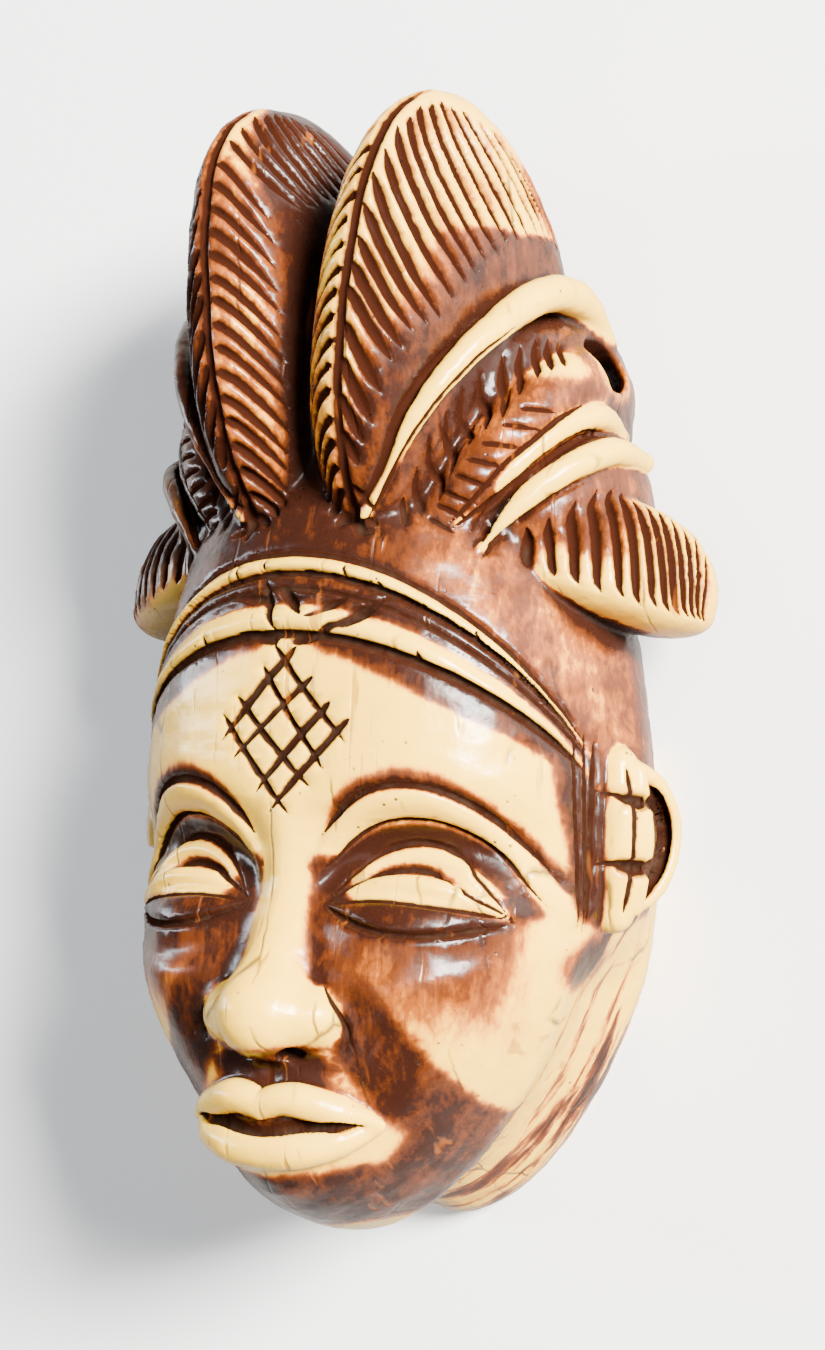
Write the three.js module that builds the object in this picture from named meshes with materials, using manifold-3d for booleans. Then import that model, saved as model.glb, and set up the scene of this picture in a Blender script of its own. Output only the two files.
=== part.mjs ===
// Miniature mask with a high lobed hairdress, carved from one piece of ivory and lying on its flat back.
// Millimetres. X runs to the mask's own left, Y to the top of the hair, Z out of the face.
import * as THREE from 'three';
import { mergeVertices } from 'three/addons/utils/BufferGeometryUtils.js';
import { LoftGeometry } from 'three/addons/geometries/LoftGeometry.js';
import Module from 'manifold-3d';

const wasm = await Module();
wasm.setup();

// Driving dimensions of the head
const HEAD = { centreY: -14, halfWidth: 26, down: 39.6, up: 46, depth: 36.5 };
const HEAD_POWER = { outlineDown: 1.65, outlineUp: 2, sectionUp: 2.7, sectionDown: 3.6 };
const COVE = { share: 0.1, height: 12, halfHeight: 10 };
const UNDERCUT = { height: 14, jawShare: 0.14, crownShare: 0.26 };
const HEAD_LEVELS = [0, 7, 13, 19, 26, 34, 42, 50, 57, 64, 71, 77, 83];
const HEAD_COLUMNS = 40;

// Driving dimensions of the face, set out on the head in equal thirds
const HAIRLINE_Y = 10;
const CHIN_Y = -54;
const THIRD = (HAIRLINE_Y - CHIN_Y) / 3;
const BROW_Y = HAIRLINE_Y - THIRD;
const EYE_Y = BROW_Y - THIRD * 0.36;
const NOSE_Y = BROW_Y - THIRD;
const MOUTH_Y = NOSE_Y - THIRD / 3;
const EYE_X = 12;
const BROW = { innerX: 3, outerX: 22.6, arch: 7.5, peak: 0.43, power: 2.2, radii: [0.7, 1.2, 1.3, 0.8] };
const LID = { halfWidth: 8, below: 2.2, slant: 0.8, sink: 1.3, radii: [0.5, 0.9, 0.5] };
const LID_RISE = { upper: 5, lower: 2.6, slit: -1.6 };
const SLIT_RADII = [0.3, 0.6, 0.3];
const NOSE = { tipZ: 39.4, ridgeZ: [33.4, 34, 38.4], ridgeRadii: [2.6, 2.6, 3.8], wingX: 4.1, wingZ: 36.6 };
const MOUTH = { frontZ: 39.2, upperRadii: [1.5, 1.6, 1.4, 0.6], lowerRadii: [2, 1.9, 1.6, 0.6] };
const GRID = { aboveBrow: 6.5, pitch: 2.2, reach: 3.6, width: 0.7, depth: 1.5 };
const BAND = { radius: 0.9, apart: 5, sideInset: 1.6, endDegrees: 18 };

// Driving dimensions of the ears
const EAR_BAR = [[23.6, -6.8, 17.8], [24, -15, 18.6], [23.2, -23.4, 17.6]];
const EAR_BAR_RADII = [2, 2.2, 2];
const EAR_RIM = [[23.8, -6.6, 16.5], [25.8, -9.2, 12.2], [26.2, -15, 9.8], [25.4, -21, 12], [23.2, -24, 16]];
const EAR_RIM_RADIUS = 1.5;
const EAR_BOWL = { centre: [23, -15, 13.6], radii: [2.4, 7.6, 6] };
const EAR_CUT = { heights: [-12.6, -17.6], from: [24.8, 20.5], to: [27.4, 13.3], width: 1.1, depth: 1 };

// Driving dimensions of the hairdress: a pair of tall lobes, then ribs, a plaited roll and a low side lobe
const LOBE = { ridgeX: 7, splay: 2.2, centreY: 30.5, halfHeight: 23.3, halfWidth: 9.2, centreZ: 13, lean: 8 };
const LOBE_FORM = { front: 24.5, back: 10, lowerPower: 2.3, upperPower: 2, outerRoof: 1.25, tip: 0.985 };
const TALL_FLUTES = { count: 15, depth: 0.8, outerDrop: 0.72, innerDrop: 0.45, veinDepth: 0.8 };
const TALL_RING_DEGREES = [0, 5, 22, 42, 62, 90, 130, 180, 230, 270, 298, 318, 338, 355];
const SIDE_LOBE = { inner: [11.3, 11.8, 19.4], outer: [30.2, 4.9, 8.8], power: 2.2 };
const SIDE_SPREAD = { up: 8.6, down: 3.6, front: 8, back: 7 };
const SIDE_FLUTES = { count: 10, depth: 0.6 };
const SIDE_RING_DEGREES = [0, 30, 60, 85, 105, 140, 180, 230, 280, 320];
const CORE = { centre: [0, 25, 8], radii: [11, 24, 22] };
const TEMPLE = { centre: [16.5, 15, 12], radii: [7.4, 9.5, 12] };
const NAPE = { centre: [12, 25, 10], radii: [8, 12, 15] };
const ROLL_PATH = [[8.5, 11, 27], [14.2, 18.6, 24.4], [17.4, 25.2, 18.6], [17.2, 27.5, 10], [14.5, 26.5, 1]];
const ROLL_RADII = [2.2, 3.3, 3.6, 3.8, 3.8];
const PLAIT = { count: 4, from: 0.16, to: 0.56, turn: 0.85, climb: 1.6, width: 0.7, depth: 1 };
const RIB_PATH = [[6.4, 14.4, 33], [12, 23.6, 32], [16, 30.6, 27], [18, 34.8, 20], [18, 35, 12], [17, 32, 6]];
const RIB_RADII = [0.7, 1.2, 1.6, 2, 2, 1.6];
const FORK_UPPER = [[12.6, 13.2, 28], [17.6, 19.4, 24], [20.2, 23, 19.5], [20.8, 24, 13.5], [19.5, 22.5, 7]];
const FORK_LOWER = [[14.8, 10.8, 27], [18.6, 16, 24.4], [21.8, 19.2, 20.6], [23, 20.6, 15.5], [22.6, 20, 8]];
const FORK_RADII = [0.8, 1.2, 1.4, 1.5, 1.3];

// Driving dimensions of the back
const HOLLOW = { y: -18, halfWidth: 15.5, halfHeight: 26, depth: 19 };
const CORD_HOLE = { from: [20, 29.5, 10.5], to: [11, 24.5, -1], radius: 2 };

const IVORY = { color: 0xe9d3a6, roughness: 0.35, metalness: 0 };

// Number helpers
const clamp = (value) => Math.min(1, Math.max(0, value));
const bump = (t) => Math.max(0, 1 - t * t) ** 2;
const vector = (point) => new THREE.Vector3(...point);

function along(list, t) {
  const place = t * (list.length - 1);
  const index = Math.min(list.length - 2, Math.floor(place));
  return THREE.MathUtils.lerp(list[index], list[index + 1], place - index);
}

// A closed geometry as a solid, turned right way out.
function solid(geometry) {
  const bare = new THREE.BufferGeometry().copy(geometry);
  bare.deleteAttribute('normal');
  bare.deleteAttribute('uv');
  const { attributes, index } = mergeVertices(bare, 1e-4);
  const corners = [0, 1, 2].map(() => new THREE.Vector3());
  const triangles = [];
  let volume = 0;
  for (let i = 0; i < index.count; i += 3) {
    const ids = [0, 1, 2].map((corner) => index.getX(i + corner));
    if (new Set(ids).size < 3) continue;
    ids.forEach((id, corner) => corners[corner].fromBufferAttribute(attributes.position, id));
    volume += corners[0].dot(corners[1].clone().cross(corners[2]));
    triangles.push(ids);
  }
  const turned = volume < 0 ? triangles.map(([a, b, c]) => [a, c, b]) : triangles;
  return new wasm.Manifold(new wasm.Mesh({
    numProp: 3,
    vertProperties: Float32Array.from(attributes.position.array),
    triVerts: Uint32Array.from(turned.flat()),
  }));
}

function bothSides(geometries) {
  const mirrored = geometries.map((geometry) => new THREE.BufferGeometry().copy(geometry).scale(-1, 1, 1));
  return [...geometries, ...mirrored];
}

function joined(geometries) {
  return geometries.map(solid).reduce((whole, piece) => whole.add(piece));
}

// Basic forms
// A closed skin over a string of rings, drawn together to a point at both ends.
function skin(rings) {
  const tip = (ring) => {
    const centre = ring.reduce((sum, point) => sum.add(point), new THREE.Vector3()).divideScalar(ring.length);
    return ring.map(() => centre);
  };
  return new LoftGeometry([tip(rings[0]), ...rings, tip(rings.at(-1))]);
}

function ball(centre, radii, columns = 16, rows = 10) {
  return new THREE.SphereGeometry(1, columns, rows).scale(...radii).translate(...centre);
}

function tube(path, radii, steps = 12, sides = 8) {
  const curve = new THREE.CatmullRomCurve3(path.map(vector));
  const frames = curve.computeFrenetFrames(steps, false);
  const sections = frames.normals.map((normal, i) => {
    const centre = curve.getPointAt(i / steps);
    const radius = along(radii, i / steps);
    return Array.from({ length: sides }, (unused, j) => {
      const angle = (j / sides) * 2 * Math.PI;
      return centre.clone()
        .addScaledVector(normal, radius * Math.cos(angle))
        .addScaledVector(frames.binormals[i], radius * Math.sin(angle));
    });
  });
  return skin(sections);
}

// A box laid along a line, used for straight chisel strokes.
function stroke(from, to, width, depth) {
  const run = vector(to).sub(vector(from));
  const turn = new THREE.Quaternion().setFromUnitVectors(new THREE.Vector3(0, 1, 0), run.clone().normalize());
  const middle = vector(from).addScaledVector(run, 0.5);
  return new THREE.BoxGeometry(width, run.length(), depth).applyQuaternion(turn).translate(...middle);
}

// The head: a rounded shell whose gauge is 0 on its axis and 1 on its rim
function headPlace(x, y) {
  const below = y < HEAD.centreY;
  const power = below ? HEAD_POWER.outlineDown : HEAD_POWER.outlineUp;
  const rise = Math.abs(y - HEAD.centreY) / (below ? HEAD.down : HEAD.up);
  const gauge = ((Math.abs(x) / HEAD.halfWidth) ** power + rise ** power) ** (1 / power);
  const low = below && gauge > 0 ? clamp(rise / gauge / 0.6) : 0;
  return { gauge, section: THREE.MathUtils.lerp(HEAD_POWER.sectionUp, HEAD_POWER.sectionDown, low) };
}

// Soft swellings and hollows of the face, in millimetres off the shell
const RELIEF = [
  { x: 0, y: -46.5, wide: 9, high: 7, rise: 4.6 },
  { x: 0, y: MOUTH_Y, wide: 13, high: 8, rise: 3.4 },
  { x: 13, y: NOSE_Y + 4.5, wide: 10, high: 9, rise: 2.6 },
  { x: EYE_X, y: EYE_Y + 1, wide: 10.5, high: 6.5, rise: -4.6 },
  { x: EYE_X, y: EYE_Y - 1.6, wide: 8, high: 3.6, rise: 3.2 },
];

const RELIEF_REACH = 1.5;

function relief(x, y) {
  return RELIEF.reduce((sum, form) => {
    const distance = Math.hypot((Math.abs(x) - form.x) / form.wide, (y - form.y) / form.high);
    return sum + form.rise * bump(distance / RELIEF_REACH);
  }, 0);
}

function onHead(x, y, lift = 0) {
  const { gauge, section } = headPlace(x, y);
  return [x, y, HEAD.depth * (1 - Math.min(1, gauge) ** section) ** (1 / section) + relief(x, y) + lift];
}

// The wall leans inward towards the back, more at the crown than at the jaw
function backNarrowing(y, z) {
  const share = THREE.MathUtils.lerp(UNDERCUT.jawShare, UNDERCUT.crownShare, clamp((y + 30) / 25));
  return 1 - share * clamp(1 - z / UNDERCUT.height) ** 1.5;
}

function headShell() {
  const sections = HEAD_LEVELS.map((level) => Array.from({ length: HEAD_COLUMNS }, (unused, j) => {
    const angle = (j / HEAD_COLUMNS) * 2 * Math.PI;
    const power = Math.sin(angle) < 0 ? HEAD_POWER.outlineDown : HEAD_POWER.outlineUp;
    const rim = {
      x: HEAD.halfWidth * Math.sign(Math.cos(angle)) * Math.abs(Math.cos(angle)) ** (2 / power),
      y: (Math.sin(angle) < 0 ? -HEAD.down : HEAD.up) * Math.abs(Math.sin(angle)) ** (2 / power),
    };
    const { section } = headPlace(rim.x, rim.y + HEAD.centreY);
    const turn = THREE.MathUtils.degToRad(level);
    const z = HEAD.depth * Math.sin(turn) ** (2 / section);
    const inset = COVE.share * bump((z - COVE.height) / COVE.halfHeight) * clamp((-rim.y - 8) / 8);
    const scale = Math.cos(turn) ** (2 / section) * (1 - inset);
    const y = HEAD.centreY + rim.y * scale;
    const place = new THREE.Vector3(rim.x * scale * backNarrowing(y, z), y, z);
    place.z += relief(place.x, place.y) * clamp((z - 18) / 8);
    return place;
  }));
  return skin(sections);
}

// The face: a calm one, eyes lowered, on plain thirds
function nose() {
  const ridge = [
    [0, BROW_Y + 1, NOSE.ridgeZ[0]],
    [0, EYE_Y - 1, NOSE.ridgeZ[1]],
    [0, NOSE_Y + 3, NOSE.ridgeZ[2]],
  ];
  return [
    tube(ridge, NOSE.ridgeRadii, 4, 8),
    ball([0, NOSE_Y + 2.5, NOSE.tipZ], [3.9, 3.7, 4.2], 10, 7),
    ...bothSides([ball([NOSE.wingX, NOSE_Y + 2.2, NOSE.wingZ], [3, 2.9, 4.2], 9, 6)]),
  ];
}

// Half of each lip, running from just over the midline to the corner
function mouth() {
  const upper = [[-0.4, 1.5, 0], [2.4, 2.2, 0.2], [5.8, 1.4, 1.7], [9.4, -0.2, 4.4]];
  const lower = [[-0.4, -2.2, 0.6], [3, -2.2, 0.8], [6, -1.6, 2.2], [9, -0.6, 4.6]];
  const placed = (path) => path.map(([x, rise, behind]) => [x, MOUTH_Y + rise, MOUTH.frontZ - behind]);
  return [
    ball([0, MOUTH_Y, MOUTH.frontZ - 6], [8.5, 3.6, 5.4], 10, 6),
    ...bothSides([
      tube(placed(upper), MOUTH.upperRadii, 5, 6),
      tube(placed(lower), MOUTH.lowerRadii, 5, 6),
    ]),
  ];
}

function browPath() {
  const count = 8;
  return Array.from({ length: count }, (unused, i) => {
    const t = i / (count - 1);
    const y = BROW_Y - BROW.arch * Math.abs(2 * (t - BROW.peak)) ** BROW.power;
    return onHead(THREE.MathUtils.lerp(BROW.innerX, BROW.outerX, t), y, 0.2);
  });
}

function lidPath(rise) {
  const count = 7;
  return Array.from({ length: count }, (unused, i) => {
    const t = (i / (count - 1)) * 2 - 1;
    const y = EYE_Y - LID.below + rise * (1 - t * t) - LID.slant * t;
    return onHead(EYE_X + LID.halfWidth * t, y, 0.1 - LID.sink * t * t);
  });
}

function eyesAndBrows() {
  return bothSides([
    tube(browPath(), BROW.radii, 7, 5),
    tube(lidPath(LID_RISE.upper), LID.radii, 5, 5),
    tube(lidPath(LID_RISE.lower), LID.radii, 5, 5),
  ]);
}

function eyeSlits() {
  return bothSides([tube(lidPath(LID_RISE.slit), SLIT_RADII, 5, 4)]);
}

// A raised band that follows the hairline, this far below it
function hairlineBand(drop) {
  const count = 13;
  const path = Array.from({ length: count }, (unused, i) => {
    const degrees = THREE.MathUtils.lerp(BAND.endDegrees, 180 - BAND.endDegrees, i / (count - 1));
    const angle = THREE.MathUtils.degToRad(degrees);
    const x = (HEAD.halfWidth - BAND.sideInset) * Math.cos(angle);
    return onHead(x, HEAD.centreY + (HAIRLINE_Y - HEAD.centreY - drop) * Math.sin(angle));
  });
  return tube(path, [BAND.radius, BAND.radius], 12, 4);
}

// A slanting grid of strokes in the middle of the forehead
function foreheadGrid() {
  const middleY = BROW_Y + GRID.aboveBrow;
  const strokes = [];
  for (const shift of [-GRID.pitch, 0, GRID.pitch]) {
    for (const lean of [-1, 1]) {
      const from = onHead(lean * (shift - GRID.reach), middleY + shift + GRID.reach);
      const to = onHead(lean * (shift + GRID.reach), middleY + shift - GRID.reach);
      strokes.push(stroke(from, to, GRID.width, GRID.depth));
    }
  }
  return strokes;
}

// Ears: an upright bar in front and a curled rim behind, with two cuts across
function ears() {
  return bothSides([
    tube(EAR_BAR, EAR_BAR_RADII, 3, 6),
    tube(EAR_RIM, [EAR_RIM_RADIUS, EAR_RIM_RADIUS], 7, 5),
    ball(EAR_BOWL.centre, EAR_BOWL.radii, 8, 6),
  ]);
}

function earCuts() {
  const { heights, from, to, width, depth } = EAR_CUT;
  const strokes = heights.map((y) => stroke([from[0], y, from[1]], [to[0], y + 0.2, to[1]], width, depth));
  return bothSides(strokes);
}

// A lobe made of rings strung from one end to the other, with every other ring drawn in for a flute
function flutedLobe(flutes, degrees, place) {
  const rings = flutes * 2;
  const sections = Array.from({ length: rings + 1 }, (unused, i) => {
    const s = THREE.MathUtils.lerp(-LOBE_FORM.tip, LOBE_FORM.tip, i / rings);
    return degrees.map((degree) => place(s, THREE.MathUtils.degToRad(degree), i % 2));
  });
  return skin(sections);
}

const endTaper = (v, power) => Math.max(0, 1 - Math.abs(v) ** power) ** (1 / power);

// How far a flute of the tall lobe runs down, from none at both tips to most above the middle.
const fall = (s) => ((1 + s) * (1 - ((1 + s) / 2) ** 6)) / 1.4;

// A tall lobe. Its rings climb to the ridge from both sides, so the flutes spread from it like a feather,
// and a vein runs down the ridge. The flutes die out before the rib outside and the valley inside.
function tallLobePlace(s, angle, cut) {
  const [side, front] = [Math.sin(angle), Math.cos(angle)];
  const across = front > 0 ? Math.abs(side) : 1;
  const drop = side > 0 ? TALL_FLUTES.outerDrop * clamp(across / 0.8) ** 0.6 : TALL_FLUTES.innerDrop * across;
  const v = s - drop * fall(s);
  const end = side > 0 ? 0.82 + 1.1 * v : 0.68 + 0.3 * Math.max(0, v);
  const flute = cut * TALL_FLUTES.depth * clamp((end - across) / 0.12) * clamp((front + 0.05) / 0.2);
  const vein = across < 0.01 && front > 0 ? TALL_FLUTES.veinDepth : 0;
  const taper = endTaper(v, v < 0 ? LOBE_FORM.lowerPower : LOBE_FORM.upperPower);
  const wide = side * LOBE.halfWidth * taper;
  const roof = side > 0 && front > 0 ? front ** LOBE_FORM.outerRoof : front;
  const deep = roof * (front > 0 ? LOBE_FORM.front : LOBE_FORM.back) * taper;
  const size = 1 - Math.min(0.5, (flute + vein) / Math.hypot(wide, deep));
  return new THREE.Vector3(
    LOBE.ridgeX + LOBE.splay * v + wide * size,
    LOBE.centreY + LOBE.halfHeight * v,
    LOBE.centreZ + LOBE.lean * Math.max(0, v) ** 2 + deep * size,
  );
}

// A low side lobe, flat underneath, whose rings stand square to its length
function sideLobePlace(s, angle, cut) {
  const [inner, outer] = [vector(SIDE_LOBE.inner), vector(SIDE_LOBE.outer)];
  const length = outer.clone().sub(inner).normalize();
  const up = new THREE.Vector3(0, 1, 0).projectOnPlane(length).normalize();
  const front = new THREE.Vector3().crossVectors(length, up);
  const [rise, ahead] = [Math.cos(angle), Math.sin(angle)];
  const tall = rise > 0 ? SIDE_SPREAD.up : SIDE_SPREAD.down;
  const deep = ahead > 0 ? SIDE_SPREAD.front : SIDE_SPREAD.back;
  const taper = endTaper(s, SIDE_LOBE.power);
  const shown = clamp((rise + 0.35) / 0.3) * clamp((ahead + 0.2) / 0.3);
  const size = 1 - (cut * SIDE_FLUTES.depth * shown) / tall;
  return inner.lerp(outer, (s + 1) / 2)
    .addScaledVector(up, rise * tall * taper * size)
    .addScaledVector(front, ahead * deep * taper * size);
}

function hairRolls() {
  return bothSides([
    tube(ROLL_PATH, ROLL_RADII, 6, 7),
    tube(RIB_PATH, RIB_RADII, 7, 5),
    tube(FORK_UPPER, FORK_RADII, 5, 5),
    tube(FORK_LOWER, FORK_RADII, 5, 5),
    ball(TEMPLE.centre, TEMPLE.radii, 9, 6),
    ball(NAPE.centre, NAPE.radii, 9, 6),
  ]);
}

// Slanting strokes on the rolled strip, two to a step, like a plait
function plaitStrokes() {
  const curve = new THREE.CatmullRomCurve3(ROLL_PATH.map(vector));
  const { count, turn, climb, width, depth } = PLAIT;
  const strokes = [];
  for (let i = 0; i < count; i += 1) {
    const t = THREE.MathUtils.lerp(PLAIT.from, PLAIT.to, i / (count - 1));
    const centre = curve.getPointAt(t);
    const tangent = curve.getTangentAt(t);
    const outward = new THREE.Vector3(0.62, 0.1, 0.78).projectOnPlane(tangent).normalize();
    const side = new THREE.Vector3().crossVectors(tangent, outward);
    const radius = along(ROLL_RADII, t);
    const spot = (angle, shift) => centre.clone()
      .addScaledVector(outward, radius * Math.cos(angle))
      .addScaledVector(side, radius * Math.sin(angle))
      .addScaledVector(tangent, shift);
    for (const sign of [-1, 1]) {
      strokes.push(stroke(spot(sign * 0.1, 0), spot(sign * turn, climb), width, depth));
    }
  }
  return bothSides(strokes);
}

function hairdress() {
  return [
    ...bothSides([
      flutedLobe(TALL_FLUTES.count, TALL_RING_DEGREES, tallLobePlace),
      flutedLobe(SIDE_FLUTES.count, SIDE_RING_DEGREES, sideLobePlace),
    ]),
    ...hairRolls(),
    ball(CORE.centre, CORE.radii, 12, 8),
  ];
}

// What is cut away: the back plane, the gouged hollow, the cord holes and the carved lines
function cuts() {
  const below = new THREE.BoxGeometry(200, 200, 40).translate(0, 0, -20);
  const hollow = ball([0, HOLLOW.y, 0], [HOLLOW.halfWidth, HOLLOW.halfHeight, HOLLOW.depth], 18, 10);
  const { from, to, radius } = CORD_HOLE;
  return [
    below,
    hollow,
    ...bothSides([tube([from, to], [radius, radius], 1, 8)]),
    ...plaitStrokes(),
    ...foreheadGrid(),
    ...earCuts(),
    ...eyeSlits(),
  ];
}

function carvedMask() {
  const raised = joined([
    headShell(),
    ...nose(),
    ...mouth(),
    ...eyesAndBrows(),
    ...ears(),
    ...hairdress(),
    hairlineBand(0),
    hairlineBand(BAND.apart),
  ]);
  return raised.subtract(joined(cuts()));
}

function meshOf(carving, name, finish) {
  const { numProp, vertProperties, triVerts } = carving.getMesh();
  const geometry = new THREE.BufferGeometry();
  const buffer = new THREE.InterleavedBuffer(vertProperties, numProp);
  const points = new THREE.InterleavedBufferAttribute(buffer, 3, 0);
  const position = new THREE.Float32BufferAttribute(points.count * 3, 3);
  for (let i = 0; i < points.count; i += 1) {
    position.setXYZ(i, points.getX(i), points.getY(i), points.getZ(i));
  }
  geometry.setAttribute('position', position);
  geometry.setIndex([...triVerts]);
  geometry.computeVertexNormals();
  const mesh = new THREE.Mesh(geometry, new THREE.MeshStandardMaterial(finish));
  mesh.name = name;
  return mesh;
}

const group = new THREE.Group();
group.add(meshOf(carvedMask(), 'mask', IVORY));

export default group;
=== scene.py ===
import math
import bpy
import numpy as np
import openvdb
from mathutils import Matrix, Vector


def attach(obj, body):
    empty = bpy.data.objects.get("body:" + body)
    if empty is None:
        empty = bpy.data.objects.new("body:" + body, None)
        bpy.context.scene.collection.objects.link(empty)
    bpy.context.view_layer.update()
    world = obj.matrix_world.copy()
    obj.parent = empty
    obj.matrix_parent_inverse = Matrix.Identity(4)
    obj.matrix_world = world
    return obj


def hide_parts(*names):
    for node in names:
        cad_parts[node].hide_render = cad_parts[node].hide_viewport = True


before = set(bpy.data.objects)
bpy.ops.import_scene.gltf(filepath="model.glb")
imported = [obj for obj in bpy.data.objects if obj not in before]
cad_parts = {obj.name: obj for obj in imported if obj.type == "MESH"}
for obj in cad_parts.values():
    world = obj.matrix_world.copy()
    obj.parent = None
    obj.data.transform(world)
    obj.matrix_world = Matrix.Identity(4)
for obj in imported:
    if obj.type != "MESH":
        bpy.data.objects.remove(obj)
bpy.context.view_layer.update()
rng = np.random.default_rng(11)


# small number helpers, for single numbers and whole arrays alike
def clamp(value, low=0.0, high=1.0):
    return np.minimum(high, np.maximum(low, value))


def mix(a, b, share):
    return a + (b - a) * share


def ease(low, high, value):  # 0 below low, 1 above high
    share = clamp((value - low) / (high - low))
    return share * share * (3 - 2 * share)


def hill(distance):  # 1 in the middle, 0 from 1 outward
    return np.maximum(0, 1 - distance * distance) ** 2


def softMin(a, b, reach):
    share = clamp(0.5 + 0.5 * (b - a) / reach)
    return mix(b, a, share) - reach * share * (1 - share)


def smoothPath(points, count):  # evenly spaced points on a smooth line through the given ones
    p = np.array(points, float)
    p = np.vstack([2 * p[0] - p[1], p, 2 * p[-1] - p[-2]])
    knots = np.concatenate([[0], np.cumsum(np.linalg.norm(np.diff(p, axis=0), axis=1) ** 0.5)])
    dense = []
    for i in range(1, len(p) - 2):
        t0, t1, t2, t3 = knots[i - 1:i + 3]
        t = np.linspace(t1, t2, 24)[:, None]
        a1 = ((t1 - t) * p[i - 1] + (t - t0) * p[i]) / (t1 - t0)
        a2 = ((t2 - t) * p[i] + (t - t1) * p[i + 1]) / (t2 - t1)
        a3 = ((t3 - t) * p[i + 1] + (t - t2) * p[i + 2]) / (t3 - t2)
        b1 = ((t2 - t) * a1 + (t - t0) * a2) / (t2 - t0)
        b2 = ((t3 - t) * a2 + (t - t1) * a3) / (t3 - t1)
        dense.append(((t2 - t) * b1 + (t - t1) * b2) / (t2 - t1))
    dense = np.vstack(dense)
    run = np.concatenate([[0], np.cumsum(np.linalg.norm(np.diff(dense, axis=0), axis=1))])
    at = np.linspace(0, run[-1], count)
    return np.stack([np.interp(at, run, dense[:, k]) for k in range(dense.shape[1])], 1)


def along(values, count):
    return np.interp(np.linspace(0, len(values) - 1, count), np.arange(len(values)), values)


# the head and the plain thirds that the face is set out on
head = {
    "centreY": -14, "halfWidth": 26, "down": 39.6, "up": 46, "depth": 36.5,
    "outlineDown": 1.65, "outlineUp": 2, "sectionUp": 2.7, "sectionDown": 3.6,
    "coveShare": 0.1, "coveHeight": 12, "coveHalfHeight": 10,
    "undercutHeight": 14, "jawUndercut": 0.14, "crownUndercut": 0.26,
}
face = {"hairlineY": 10.0, "chinY": -54.0, "eyeX": 12.0}
third = (face["hairlineY"] - face["chinY"]) / 3
browY = face["hairlineY"] - third
eyeY = browY - third * 0.36
noseY = browY - third
mouthY = noseY - third / 3

swellings = [  # x, y, half width, half height, rise
    (0, -46.5, 9, 7, 4.6), (0, mouthY, 13, 8, 3.4), (13, noseY + 4.5, 10, 9, 2.6),
    (face["eyeX"], eyeY + 1, 10.5, 6.5, -4.6), (face["eyeX"], eyeY - 1.6, 8, 3.6, 3.2),
]
bands = {
    "sideInset": 1.6, "upper": 0.0, "lower": 5.0, "upperWidth": 0.62, "lowerWidth": 1.25, "rise": 0.7,
    "reach": 23.4,  # to each side; each cut: drop below the hairline, width, depth, darkness
    "cuts": [(-0.95, 0.4, 0.3, 0.7), (0.95, 0.42, 0.4, 1.0), (2.3, 0.4, 0.3, 0.9), (6.5, 0.5, 0.5, 1.0)],
}
lids = {  # each cut: rise or drop, width, depth, darkness
    "halfWidth": 7.9,
    "cuts": [(6.3, 0.36, 0.3, 0.8), (3.8, 0.4, 0.4, 1.0), (1.2, 0.36, 0.3, 0.75), (-1.6, 0.5, 0.6, 1.0)],
}


def bandDrop(px, py):  # how far below the hairline a spot lies, along the bands' own arcs
    across = clamp(px / (head["halfWidth"] - bands["sideInset"]), -0.995, 0.995)
    return (face["hairlineY"] - head["centreY"]) - (py - head["centreY"]) / np.sqrt(1 - across * across)


def bandY(px, drop):  # the other way round: the height of an arc that lies drop below the hairline
    across = px / (head["halfWidth"] - bands["sideInset"])
    return head["centreY"] + (face["hairlineY"] - head["centreY"] - drop) * np.sqrt(1 - across ** 2)


def browLine(px):
    t = clamp((np.abs(px) - 3) / 19.6)
    return browY - 7.5 * np.abs(2 * (t - 0.43)) ** 2.2


def lidLine(px, rise):
    t = clamp((np.abs(px) - face["eyeX"]) / 8, -1, 1)
    return eyeY - 2.2 + rise * (1 - t * t) - 0.8 * t


def relief(px, py):
    total = 0
    for cx, cy, wide, high, rise in swellings:
        total = total + rise * hill(np.hypot((np.abs(px) - cx) / wide, (py - cy) / high) / 1.5)
    drop = bandDrop(px, py)
    side = ease(25.5, 23.0, np.abs(px)) * ease(-12, -7, py)
    upper = hill((drop - bands["upper"]) / (bands["upperWidth"] * 1.35))
    lower = hill((drop - bands["lower"]) / (bands["lowerWidth"] * 1.25))
    between = hill((drop - 2.4) / 1.6)
    total = total + bands["rise"] * side * np.maximum(np.maximum(upper, lower), 0.45 * between)
    brow = hill((py - browLine(px)) / 2.4) * ease(24.4, 22.4, np.abs(px)) * ease(1.4, 3.4, np.abs(px))
    return total + 0.9 * brow


def headGauge(px, py):
    below = py < head["centreY"]
    power = np.where(below, head["outlineDown"], head["outlineUp"])
    rise = np.abs(py - head["centreY"]) / np.where(below, head["down"], head["up"])
    gauge = ((np.abs(px) / head["halfWidth"]) ** power + rise ** power) ** (1 / power)
    low = np.where(below, clamp(rise / np.maximum(gauge, 1e-6) / 0.6), 0)
    return gauge, mix(head["sectionUp"], head["sectionDown"], low)


def onHead(px, py, lift=0.0):
    gauge, section = headGauge(px, py)
    shell = head["depth"] * (1 - clamp(gauge, 0, 1) ** section) ** (1 / section)
    return np.stack(np.broadcast_arrays(px, py, shell + relief(px, py) + lift), -1)


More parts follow.
